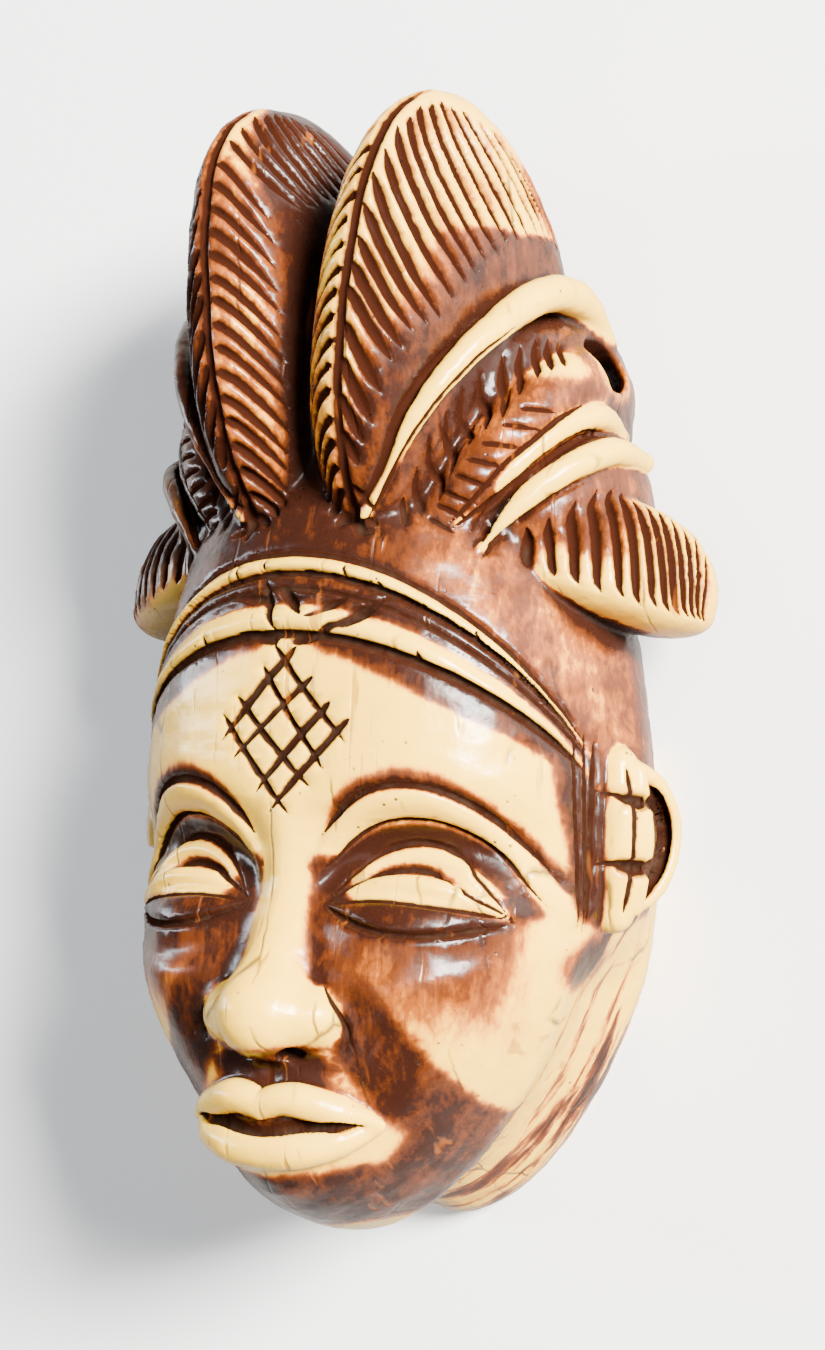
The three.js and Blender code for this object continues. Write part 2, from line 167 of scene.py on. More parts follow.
def headForm(px, py, pz):
    lean = mix(head["jawUndercut"], head["crownUndercut"], clamp((py + 30) / 25))
    narrow = 1 - lean * clamp(1 - pz / head["undercutHeight"]) ** 1.5
    gauge, section = headGauge(px / narrow, py)
    up = np.maximum(pz - relief(px, py) * clamp((pz - 18) / 8), 0) / head["depth"]
    shell = np.maximum(0.09, 1 - clamp(up) ** section) ** (1 / section)
    rimY = (py - head["centreY"]) / shell
    cove = head["coveShare"] * hill((pz - head["coveHeight"]) / head["coveHalfHeight"])
    cove = cove * clamp((-rimY - 8) / 8)
    return ((gauge / (1 - cove)) ** section + up ** section) ** (1 / section) - 1


# the hairdress: two tall lobes like leaves, ribs and a plaited roll beside them, and a low lobe at each side
lobe = {
    "ridgeX": 7, "splay": 2.2, "centreY": 30.5, "halfHeight": 23.3, "halfWidth": 9.2, "centreZ": 13,
    "lean": 8, "front": 24.5, "back": 10, "lowerPower": 2.3, "upperPower": 2.0, "outerPower": 1.68,
    "outerRoof": 1.25,
}
sideLobe = {
    "inner": (11.3, 11.8, 19.4), "outer": (30.2, 4.9, 8.8), "power": 2.2,
    "up": 8.6, "down": 3.6, "front": 8, "back": 7,
}
tubes = {  # path, radii and how softly each is let into its neighbours
    "roll": ([(8.5, 11, 27), (14.2, 18.6, 24.4), (17.4, 25.2, 18.6), (17.2, 27.5, 10), (14.5, 26.5, 1)],
             [2.2, 3.3, 3.6, 3.8, 3.8], 0.6),
    "rib": ([(6.4, 14.2, 32.2), (12, 23.6, 32), (16, 30.6, 27), (18, 34.8, 20), (18, 35, 12), (17, 32, 6)],
            [0.5, 0.95, 1.25, 1.6, 1.75, 1.5], 0.9),
    "forkUpper": ([(12.6, 13.2, 28), (17.6, 19.4, 24), (20.2, 23, 19.5), (20.8, 24, 13.5), (19.5, 22.5, 7)],
                  [0.25, 1.1, 1.4, 1.3, 1.0], 0.3),
    "forkLower": ([(14.8, 10.8, 27), (18.6, 16, 24.4), (21.8, 19.2, 20.6), (23, 20.6, 15.5), (22.6, 20, 8)],
                  [0.25, 1.1, 1.4, 1.3, 1.0], 0.3),
}
balls = {  # centre, half sizes and how softly each is let in
    "temple": ((16.5, 15, 12), (7.4, 9.5, 12), 0.8),
    "nape": ((12, 25, 10), (8, 12, 15), 0.8),
    "core": ((0, 25, 8), (11, 24, 22), 1.2),
}


def taper(v, power):  # goes on below 0 past the tips, so that the form closes
    inside = np.maximum(0, 1 - np.abs(v) ** power) ** (1 / power)
    return inside - np.maximum(0, np.abs(v) - 1)


def lobeAxis(py):
    v = (py - lobe["centreY"]) / lobe["halfHeight"]
    return v, lobe["ridgeX"] + lobe["splay"] * v, lobe["centreZ"] + lobe["lean"] * np.maximum(0, v) ** 2


def lobeTaper(v):
    return np.where(v < 0, taper(v, lobe["lowerPower"]), taper(v, lobe["upperPower"]))


def lobeWide(v, outer):  # the outer flank is leaner toward the tip
    lean = np.maximum(0.05, taper(v, lobe["outerPower"])) / np.maximum(0.05, taper(v, lobe["upperPower"]))
    return lobe["halfWidth"] * np.where(outer & (v > 0), clamp(lean, 0.6, 1), 1)


def lobeForm(px, py, pz):
    v, cx, cz = lobeAxis(py)
    size = lobeTaper(v)
    u = (px - cx) / lobeWide(v, px > cx)
    w = (pz - cz) / np.where(pz > cz, lobe["front"], lobe["back"])
    power = 2 / lobe["outerRoof"]
    roofed = (u > 0) & (w > 0)
    deep = np.where(roofed, np.abs(w) ** power * np.maximum(size, 0.02) ** (2 - power), w * w)
    return np.sqrt(u * u + deep + 1e-8) - size


def sideAxis():
    inner, outer = np.array(sideLobe["inner"], float), np.array(sideLobe["outer"], float)
    length = np.linalg.norm(outer - inner) / 2
    run = (outer - inner) / (2 * length)
    up = np.array([0, 1, 0]) - run[1] * run
    up /= np.linalg.norm(up)
    return (inner + outer) / 2, length, run, up, np.cross(run, up)


def sideParts(px, py, pz):
    centre, length, run, up, ahead = sideAxis()
    rel = (px - centre[0], py - centre[1], pz - centre[2])
    out, rise, front = (rel[0] * axis[0] + rel[1] * axis[1] + rel[2] * axis[2] for axis in (run, up, ahead))
    return out / length, rise, front


def sideForm(px, py, pz):
    s, rise, front = sideParts(px, py, pz)
    r = rise / np.where(rise > 0, sideLobe["up"], sideLobe["down"])
    a = front / np.where(front > 0, sideLobe["front"], sideLobe["back"])
    return np.sqrt(r * r + a * a + 1e-8) - taper(s, sideLobe["power"])


def sideSpot(s, degrees):
    centre, length, run, up, ahead = sideAxis()
    angle = np.radians(degrees)
    size = taper(s, sideLobe["power"])
    tall = np.where(np.cos(angle) > 0, sideLobe["up"], sideLobe["down"]) * np.cos(angle) * size
    deep = np.where(np.sin(angle) > 0, sideLobe["front"], sideLobe["back"]) * np.sin(angle) * size
    return centre + np.outer(s * length, run) + np.outer(tall, up) + np.outer(deep, ahead)


def ballForm(centre, radii):
    def form(px, py, pz):
        q = [(p - c) / r for p, c, r in zip((px, py, pz), centre, radii)]
        k0 = np.sqrt(q[0] ** 2 + q[1] ** 2 + q[2] ** 2 + 1e-9)
        k1 = np.sqrt((q[0] / radii[0]) ** 2 + (q[1] / radii[1]) ** 2 + (q[2] / radii[2]) ** 2 + 1e-12)
        return k0 * (k0 - 1) / k1
    return form


def tubeForm(points, radii, count=22):
    line = smoothPath(points, count)
    widths = along(radii, count)

    def form(px, py, pz):
        best = 1e3
        for a, b, ra, rb in zip(line[:-1], line[1:], widths[:-1], widths[1:]):
            ab = b - a
            rel = (px - a[0], py - a[1], pz - a[2])
            t = clamp((rel[0] * ab[0] + rel[1] * ab[1] + rel[2] * ab[2]) / ab.dot(ab))
            away = np.sqrt((rel[0] - t * ab[0]) ** 2 + (rel[1] - t * ab[1]) ** 2 + (rel[2] - t * ab[2]) ** 2)
            best = np.minimum(best, away - mix(ra, rb, t))
        return best
    return form, line.min(0) - max(radii), line.max(0) + max(radii)


# half of the block that the mask is cut from: each cell's distance from the surface, and what is nearest
block = {"voxel": 0.23, "low": (0.0, -56.7, -1.62), "high": (33.5, 56.7, 47.0)}
voxel = block["voxel"]
ends = zip(block["low"], block["high"])
axes = [low + voxel * np.arange(int((high - low) / voxel) + 1) for low, high in ends]
field = np.full([len(axis) for axis in axes], 6.0, np.float32)
owner = np.full(field.shape, 255, np.uint8)
names = []


def part(low, high):
    spans = []
    for axis, a, b in zip(axes, low, high):
        first = max(0, int((a - axis[0]) / voxel))
        spans.append(slice(first, min(len(axis), int((b - axis[0]) / voxel) + 2)))
    grids = [axis[span].astype(np.float32) for axis, span in zip(axes, spans)]
    return tuple(spans), (grids[0][:, None, None], grids[1][None, :, None], grids[2][None, None, :])


def add(name, form, low, high, reach, evened=False, mirrored=False, sign=1):
    if name not in names:
        names.append(name)
    spans, (px, py, pz) = part(np.array(low) - 2, np.array(high) + 2)
    value = form(-px if mirrored else px, py, pz).astype(np.float32)
    if evened:
        slopes = np.gradient(value, voxel)
        value = value / np.maximum(0.004, np.sqrt(slopes[0] ** 2 + slopes[1] ** 2 + slopes[2] ** 2))
    own = sign * field[spans]
    owner[spans][value < own] = names.index(name)
    field[spans] = sign * softMin(own, value, reach)


def cut(name, form, low, high, reach):
    add(name, form, low, high, reach, sign=-1)


def addTube(name, points, radii, reach, count=22, mirrored=False):
    form, low, high = tubeForm(points, radii, count)
    add(name, form, low, high, reach, mirrored=mirrored)


def addBall(name, centre, radii, reach):
    add(name, ballForm(centre, radii), np.subtract(centre, radii), np.add(centre, radii), reach)


add("head", headForm, (0, -56.7, -2), (30, 34, 46), 0.01, evened=True)
print("head blocked out")

# the face: plain and calm, eyes lowered
nose = {"tipZ": 39.4, "wingX": 4.1, "wingZ": 36.6}
lips = {"frontZ": 39.2}
addTube("nose", [(0, browY + 1, 33.4), (0, eyeY - 1, 34), (0, noseY + 3, 38.4)], [2.4, 2.6, 3.7], 2.2)
addBall("nose", (0, noseY + 2.5, nose["tipZ"]), (3.9, 3.6, 4.0), 2.4)
addBall("nose", (nose["wingX"], noseY + 2.3, nose["wingZ"]), (3, 2.8, 4.0), 1.5)
addBall("lip", (0, mouthY, lips["frontZ"] - 6), (8.5, 3.6, 5.4), 2.0)
upperLip = [(-0.6, 1.4, 0.15), (2.4, 2.2, 0.2), (5.8, 1.4, 1.7), (9.4, -0.2, 4.4)]
lowerLip = [(-0.6, -2.3, 0.55), (3, -2.2, 0.8), (6, -1.6, 2.2), (9, -0.6, 4.6)]
for path, radii in ((upperLip, [1.45, 1.6, 1.4, 0.6]), (lowerLip, [2, 1.9, 1.6, 0.6])):
    addTube("lip", [(x, mouthY + rise, lips["frontZ"] - behind) for x, rise, behind in path], radii, 0.55)
for rise, radius in ((5.0, 0.95), (2.6, 1.0)):
    across = np.linspace(-1, 1, 7)
    xs = face["eyeX"] + 8 * across
    path = onHead(xs, lidLine(xs, rise), 0.1 - 1.3 * across ** 2)
    addTube("lid", path, [0.5, radius, 0.5], 0.5, 14)
nostril = ballForm((2.3, noseY - 0.6, 38.4), (1.25, 1.0, 1.8))
cut("nostril", nostril, (1, noseY - 2, 36), (4, noseY + 1, 41), 0.4)

# the ears: an upright bar in front and a curled rim behind it
ear = {
    "bar": [(24.3, -8.4, 16.8), (24.9, -15, 17.2), (24.0, -22.0, 16.6)], "barRadii": [1.9, 2.3, 1.9],
    "behind": [(26.1, -8.9, 16.2), (26.8, -15, 16.3), (25.8, -21.4, 16.0)], "behindRadii": [0.8, 0.95, 0.8],
    "rim": [(24.8, -8.4, 15.0), (26.5, -10.6, 12.0), (26.9, -15, 10.1), (26.2, -19.8, 11.8),
            (24.2, -22.2, 15.0)],
    "rimRadius": 0.8, "bowl": (22.3, -15, 13.4), "bowlRadii": (4.3, 7.2, 5.8),
}
addTube("earBar", ear["bar"], ear["barRadii"], 0.4, 12)
addTube("earRim", ear["rim"], [ear["rimRadius"]] * 2, 0.4)
addBall("earBowl", ear["bowl"], ear["bowlRadii"], 0.4)
addTube("earBar", ear["behind"], ear["behindRadii"], 0.15, 12)
print("face and ears blocked out")

for name, (centre, radii, reach) in balls.items():
    addBall(name, centre, radii, reach)
for name, (points, radii, reach) in tubes.items():
    addTube(name, points, radii, reach)
add("side", sideForm, (8, -2, 1), (33, 20, 28), 0.5, evened=True)
add("lobe", lobeForm, (0, 5, 0), (20, 55, 40), 0.5, evened=True)
add("lobe", lobeForm, (0, 5, 0), (2, 55, 40), 0.9, evened=True, mirrored=True)
print("hair blocked out")

# the back: a gouged hollow, a cord hole at each side and the flat that the mask rests on
back = {
    "hollow": (0, -18, 0), "hollowRadii": (15.5, 26, 19),
    "cordFrom": (20, 29.5, 10.5), "cordTo": (11, 24.5, -1), "cordRadii": [2.9, 2.2, 2.0, 2.0],
}
low, high = np.subtract(back["hollow"], back["hollowRadii"]), np.add(back["hollow"], back["hollowRadii"])
cut("hollow", ballForm(back["hollow"], back["hollowRadii"]), low, high, 1.4)
cordForm, low, high = tubeForm([back["cordFrom"], back["cordTo"]], back["cordRadii"], 7)
cut("cordHole", cordForm, low, high, 0.6)
cut("flat", lambda px, py, pz: pz + 0 * px + 0 * py, (0, -56.7, -2), (34, 56.7, 3), 0.35)
print("back cut")

# the whole block as a mesh: four-sided faces, both halves
whole = np.concatenate([field[:0:-1], field], 0)
grid = openvdb.FloatGrid()
grid.background = 3.0
grid.copyFromArray(np.ascontiguousarray(np.clip(whole, -3, 3)))
places, quads = grid.convertToQuads(isovalue=0.0)
places = places.astype(np.float64) * voxel + np.array([-axes[0][-1], axes[1][0], axes[2][0]])
quads = quads.astype(np.int64)
print("meshed", len(places), "points")


def cells(points, size):  # where the points lie in a half block, both sides alike, counted in cells
    low = (0.0, axes[1][0], axes[2][0])
    return np.stack([(np.abs(points[:, k]) if k == 0 else points[:, k] - low[k]) / size for k in range(3)], 1)


def gridAt(values, points, size=voxel):  # reads a half block between its cells
    q = np.clip(cells(points, size), 0, np.array(values.shape) - 1.001)
    i = q.astype(int)
    f = q - i
    total = 0
    for step in np.ndindex(2, 2, 2):
        share = np.prod(np.abs(1 - np.array(step) - f), axis=1)
        total = total + share * values[tuple((i + step).T)]
    return total


def nearest(points, owned):
    i = np.clip(np.rint(cells(points, voxel)).astype(int), 0, np.array(owned.shape) - 1)
    return owned[tuple(i.T)]


def faceNormals(points, faces):
    cross = np.cross(points[faces[:, 2]] - points[faces[:, 0]], points[faces[:, 3]] - points[faces[:, 1]])
    normal = np.zeros_like(points)
    for k in range(4):
        for axis in range(3):
            normal[:, axis] += np.bincount(faces[:, k], cross[:, axis], len(points))
    return normal / np.maximum(1e-12, np.linalg.norm(normal, axis=1))[:, None]


edges = np.vstack([quads[:, [k, (k + 1) % 4]] for k in range(4)])


def evenOut(values, times):  # lets a number on the points run into its neighbours
    count = np.bincount(edges[:, 0], minlength=len(places)) + np.bincount(edges[:, 1], minlength=len(places))
    for _ in range(times):
        total = np.bincount(edges[:, 0], values[edges[:, 1]], len(places))
        total += np.bincount(edges[:, 1], values[edges[:, 0]], len(places))
        values = 0.5 * values + 0.5 * total / count
    return values


normals = faceNormals(places, quads)
if (normals[:, 2] * (places[:, 2] - 15)).sum() < 0:
    quads = quads[:, ::-1]
    normals = -normals


# how hollow or proud each spot is, from the share of solid around it: stain stays in the hollows
def solidShare(radius):
    solid = clamp(0.5 - field[::2, ::2, ::2] / (2 * voxel)).astype(np.float32)
    solid[:, :, axes[2][::2] < 0] = 0.0
    full = np.concatenate([solid[:0:-1], solid], 0)
    size = max(1, int(round(radius / (2 * voxel))))
    for _ in range(2):
        for axis in range(3):
            padded = np.concatenate([np.repeat(full.take([0], axis), size + 1, axis), full,
                                     np.repeat(full.take([-1], axis), size, axis)], axis)
            total = np.cumsum(padded, axis, dtype=np.float32)
            length = full.shape[axis]
            ahead = total.take(range(2 * size + 1, 2 * size + 1 + length), axis)
            full = (ahead - total.take(range(0, length), axis)) / (2 * size + 1)
    half = full[solid.shape[0] - 1:]
    return gridAt(half, places, 2 * voxel)


felt = {"fine": 1.1, "broad": 3.2}
fineHollow = solidShare(felt["fine"]) - 0.5
broadHollow = solidShare(felt["broad"]) - 0.5
for name, share in (("fine", fineHollow), ("broad", broadHollow)):
    print(name, "hollows felt", np.percentile(share, [1, 50, 99]).round(3))

# the chisel strokes, each a line on the surface with a width and a depth
topZ = np.full(field.shape[:2], -9.0)
inside = field < 0
highest = field.shape[2] - 1 - np.argmax(inside[:, :, ::-1], axis=2)
some = inside.any(axis=2)
ix, iy = np.nonzero(some)
k = highest[ix, iy]
a, b = field[ix, iy, k], field[ix, iy, np.minimum(k + 1, field.shape[2] - 1)]
topZ[ix, iy] = axes[2][k] + voxel * a / (a - b + 1e-9)


def onTop(px, py, lift=0.0):  # the spot on the surface that is seen straight from the front
    u, v = np.abs(px) / voxel, (np.asarray(py) - axes[1][0]) / voxel
    i, j = np.clip(u.astype(int), 0, topZ.shape[0] - 2), np.clip(v.astype(int), 0, topZ.shape[1] - 2)
    fu, fv = u - i, v - j
    z = mix(mix(topZ[i, j], topZ[i + 1, j], fu), mix(topZ[i, j + 1], topZ[i + 1, j + 1], fu), fv)
    return np.stack([px, py, z + lift], 1)


strokes = []
knife = {"reachOff": 1.4, "grooveRound": 1.8, "slant": 0.97, "widthVaries": 0.08, "depthVaries": 0.1}


def settle(points):  # draws points that lie near the surface onto it
    flip = np.where(points[:, :1] < 0, [-1, 1, 1], 1)
    spots = points * flip
    nudge = 0.3
    for _ in range(3):
        height = gridAt(field, spots)
        slope = [gridAt(field, spots + step) - gridAt(field, spots - step) for step in nudge * np.eye(3)]
        slope = np.stack(slope, 1) / (2 * nudge)
        spots = spots - slope * (clamp(height, -1.5, 1.5) / np.maximum(0.2, (slope * slope).sum(1)))[:, None]
    return spots * flip


def stroke(line, width, depth, dark=1.0, tips=(0.25, 0.25), both=True, hand=0.1):
    line = settle(np.asarray(line, float))
    t = np.linspace(0, 1, len(line))
    shape = clamp(t / max(tips[0], 1e-3)) ** 0.75 * clamp((1 - t) / max(tips[1], 1e-3)) ** 0.75
    shape = np.maximum(0.1, shape)
    for side in ((1, -1) if both else (1,)):
        shake = rng.normal(0, hand, (2, 3)) * [1, 1, 0.4]
        own = line + shake[0] * (1 - t)[:, None] + shake[1] * t[:, None]
        own = own * [side, 1, 1]
        wide = width * (1 + rng.normal(0, knife["widthVaries"]))
        deep = depth * (1 + rng.normal(0, knife["depthVaries"]))
        strokes.append((own, wide * shape, deep * np.sqrt(shape), dark))


def steps(knots, count):  # runs evenly from knot to knot
    knots = np.array(knots, float)
    at = np.linspace(0, len(knots) - 1, count)
    return np.stack([np.interp(at, np.arange(len(knots)), column) for column in knots.T], 1)


def straight(a, b, count=9, bow=0.0):  # from a to b in x and y, swung out sideways by bow
    t = np.linspace(0, 1, count)
    a, b = np.array(a, float), np.array(b, float)
    side = np.array([b[1] - a[1], a[0] - b[0]]) / np.linalg.norm(b - a)
    spots = a + (b - a) * t[:, None] + side * (bow * 4 * t * (1 - t))[:, None]
    return spots[:, 0], spots[:, 1]


def lobeSpot(py, degrees):  # a spot on a tall lobe, by height and turn round its spine, outward positive
    v, cx, cz = lobeAxis(py)
    size = lobeTaper(v)
    side, ahead = np.sin(np.radians(degrees)), np.cos(np.radians(degrees))
    roofed = np.where(np.asarray(degrees) > 0, lobe["outerRoof"], 1)
    deep = np.where(ahead > 0, lobe["front"] * np.abs(ahead) ** roofed, lobe["back"] * ahead)
    wide = lobeWide(v, np.asarray(degrees) > 0) * size
    return np.stack(np.broadcast_arrays(cx + wide * side, py, cz + deep * size), -1)


# the tall lobes are cut like leaves: a vein down the spine and flutes to both sides of it, as (height, turn)
leaf = {
    "outerCount": 21, "widths": ([0, 0.5, 0.7, 1], [0.84, 0.84, 0.62, 0.52]), "depth": 0.66,
    "outerStarts": [(21.5, 0), (28.2, 0.5), (34.4, 1), (38.8, 3), (44.6, 6), (49.0, 14), (51.4, 26),
                    (52.4, 44), (51.9, 64), (50.4, 84), (47.6, 104)],
    "outerEnds": [(18.6, 10), (22.1, 18.5), (27.6, 25.7), (30.4, 32.3), (32.1, 41), (35.2, 50), (37.6, 57),
                  (39.2, 67), (40.3, 78), (40.7, 91), (40.0, 105)],
    "innerCount": 16, "innerFrom": 14.0, "innerPitch": 2.2, "innerWidth": 0.62, "innerDepth": 0.55,
    "fanCount": 9, "fanWidth": 0.52, "fanDepth": 0.5, "veinWidth": 0.74, "veinDepth": 0.6,
    "fanStarts": [(49.5, -9), (52.2, -24), (52.9, -44), (52.6, -62), (51.6, -80)],
    "fanEnds": [(42.6, -50), (43.6, -58), (44.2, -68), (44.2, -80), (43.0, -96)],
}
ys = np.linspace(9.5, 53.3, 44)
spine = lobeSpot(ys, 0.4 * np.sin(ys * 0.7))
stroke(spine, leaf["veinWidth"], leaf["veinDepth"], 1.0, (0.04, 0.02), hand=0.04)
starts, ends = steps(leaf["outerStarts"], leaf["outerCount"]), steps(leaf["outerEnds"], leaf["outerCount"])
for i, ((y0, turn0), (y1, turn1)) in enumerate(zip(starts, ends)):
    t, high = np.linspace(0, 1, 16), i / (leaf["outerCount"] - 1)
    line = lobeSpot(mix(y0, y1, t), mix(turn0, turn1, t ** 0.85))
    tips = (mix(0.16, 0.06, ease(0.4, 0.6, high)), 0.3)
    stroke(line, np.interp(high, *leaf["widths"]), leaf["depth"], 1.0, tips, hand=0.07)
for y in (17.2, 15.0, 12.9):
    stroke(lobeSpot(np.linspace(y, y - 2.6, 8), np.linspace(3, 15, 8)), 0.42, 0.42, 0.95, (0.2, 0.4))
for i in range(leaf["innerCount"]):
    y = leaf["innerFrom"] + leaf["innerPitch"] * i
    t = np.linspace(0, 1, 14)
    drop = mix(3.0, 5.6, clamp((y - 14) / 12))
    turns = -mix(3.5, mix(24, 36, clamp((y - 14) / 14)), t ** 0.85)
    stroke(lobeSpot(y - drop * t ** 1.5, turns), leaf["innerWidth"], leaf["innerDepth"], 1.0, (0.06, 0.4))
starts, ends = steps(leaf["fanStarts"], leaf["fanCount"]), steps(leaf["fanEnds"], leaf["fanCount"])
for (y0, turn0), (y1, turn1) in zip(starts, ends):
    line = lobeSpot(mix(y0, y1, t), mix(turn0, turn1, t ** 0.8))
    stroke(line, leaf["fanWidth"], leaf["fanDepth"], 1.0, (0.1, 0.3))

# the plait on the roll: blades above, shingles below
plait = {  # starts, ends, how many, stretch, start-back, width, depth, tips
    "blades": ([(9.4, 15.9, 30.2), (11.8, 21.4, 29.6), (13.6, 26.1, 26.7), (15.3, 29.2, 22.7),
                (16.9, 31.2, 19.0), (18.0, 31.0, 16.5)],
               [(9.7, 13.4, 30.5), (12.1, 16.0, 28.5), (14.1, 21.0, 26.8), (16.6, 23.6, 25.1),
                (18.2, 27.4, 21.4), (19.6, 28.6, 18.7)], 11, 1.12, 0.04, 0.5, 0.46, (0.4, 0.25)),
    "shingles": ([(11.2, 14.2, 29.0), (12.6, 17.1, 28.3), (15.0, 20.3, 27.1), (17.9, 24.2, 24.2)],
                 [(13.4, 13.0, 28.4), (15.4, 15.8, 27.2), (17.9, 20.0, 25.5), (20.2, 24.0, 22.0)],
                 8, 1.15, 0.0, 0.36, 0.3, (0.08, 0.4)),
}
t = np.linspace(0, 1, 10)[:, None]
for starts, ends, count, stretch, startBack, width, depth, tips in plait.values():
    for a, b in zip(steps(starts, count), steps(ends, count)):
        stroke(mix(a, b, t * stretch - startBack), width, depth, 1.0, tips, hand=0.03)


# the ribs stand between cuts
def flank(name, width, depth, dark, last, spread=0.3, centre=(6, 16, 6)):
    points, radii, reach = tubes[name]
    line = smoothPath(points, 44)
    ahead = np.gradient(line, axis=0)
    side = np.cross(ahead, line - np.array(centre))
    side /= np.linalg.norm(side, axis=1)[:, None]
    for way in (1, -1):
        beside = line + way * side * (along(radii, 44) + spread)[:, None]
        stroke(beside[:last], width, depth, dark, (0.15, 0.2), hand=0.03)


flank("rib", 0.5, 0.4, 0.9, 24)
flank("forkUpper", 0.42, 0.36, 0.9, 28, -0.1)
flank("forkLower", 0.5, 0.4, 0.9, 26)
fork = (smoothPath(tubes["forkUpper"][0], 44) + smoothPath(tubes["forkLower"][0], 44)) / 2
stroke(fork[2:34], 0.62, 0.6, 1.0, (0.2, 0.3), hand=0.03)

# the flutes of the low side lobes, fanned out from the crest
fan = {"count": 13, "from": -0.7, "to": 0.74, "widths": (0.64, 0.47), "depth": 0.55}
for i in range(fan["count"]):
    s = mix(fan["from"], fan["to"], i / (fan["count"] - 1))
    lean = 0.12 + 0.34 * math.sin(math.pi * min(1, (s + 0.7) / 1.5))
    first = mix(60, 8, ease(-0.7, -0.15, s))
    t = np.linspace(0, 1, 14)
    line = sideSpot(np.minimum(0.93, s + lean * t), mix(first, 103.0, t))
    stroke(line, mix(*fan["widths"], ease(0.1, 0.74, s)), fan["depth"], 1.0, (0.3, 0.25), hand=0.06)

# lines along the bands, the brows and the lids
xs = np.linspace(-bands["reach"], bands["reach"], 90)
for drop, width, depth, dark in bands["cuts"]:
    stroke(onTop(xs, bandY(xs, drop)), width, depth, dark, (0.03, 0.03), both=False, hand=0.06)
browCuts = [(3.4, 22.2, 1.7, 0.5, 0.5, 0.95), (3.8, 21.6, -1.6, 0.42, 0.4, 0.85)]
for first, last, rise, width, depth, dark in browCuts:
    xs = np.linspace(first, last, 30)
    stroke(onTop(xs, browLine(xs) + rise), width, depth, dark, (0.1, 0.15), hand=0.06)
xs = face["eyeX"] + lids["halfWidth"] * np.linspace(-1, 1, 26)
for rise, width, depth, dark in lids["cuts"]:
    stroke(onTop(xs, lidLine(xs, rise)), width, depth, dark, (0.15, 0.15), hand=0.04)

# the lozenge on the forehead: four blades one way, four lighter cuts across them
lattice = {"aboveBrow": 6.3, "pitch": 1.9, "reach": 4.0, "count": 4}
for i in range(lattice["count"]):
    shift = lattice["pitch"] * (i - 1.5)
    middle, reach = browY + lattice["aboveBrow"], lattice["reach"]
    for side, width in ((-1, 0.56), (1, 0.42)):
        a = (side * (shift - reach), middle + (shift + reach) * 1.12)
        b = (side * (shift + reach), middle + (shift - reach) * 1.12)
        stroke(onTop(*straight(a, b, 16, 0.2)), width, 0.5, 1.0, (0.1, 0.3), both=False, hand=0.42)

# the cut star at the middle of the lower band
star = [  # from, to, width
    ((-2.7, 8.5), (-1.0, 3.7), 0.75), ((-0.9, 8.0), (1.7, 5.3), 0.72), ((1.9, 5.2), (7.0, 7.5), 0.52),
    ((3.0, 3.5), (9.9, 7.3), 0.66), ((5.2, 4.3), (9.0, 6.2), 0.55), ((-0.6, 2.8), (-5.4, 3.6), 0.7),
    ((0.5, 2.8), (4.6, 3.9), 0.6), ((-2.0, 6.6), (-6.0, 6.9), 0.6),
]
for a, b, width in star:
    stroke(onTop(*straight(a, b, 12, 0.15)), width, 0.62, 1.0, (0.2, 0.5), both=False, hand=0.06)
nicks = [  # small cuts across the bands: x, and from and to below the hairline
    (-6.2, -0.7, 0.8), (-3.0, -0.6, 0.5), (5.4, -0.7, 0.9), (8.6, 0.1, 1.1), (-9.5, 4.2, 6.2),
    (12.5, 4.3, 5.9), (16.5, -0.5, 0.7),
]
for px, first, last in nicks:
    top = bandY(px, 0.0)
    line = onTop(*straight((px, top - first), (px + 0.2, top - last), 6))
    stroke(line, 0.22, 0.3, 0.9, (0.3, 0.3), both=False, hand=0.05)

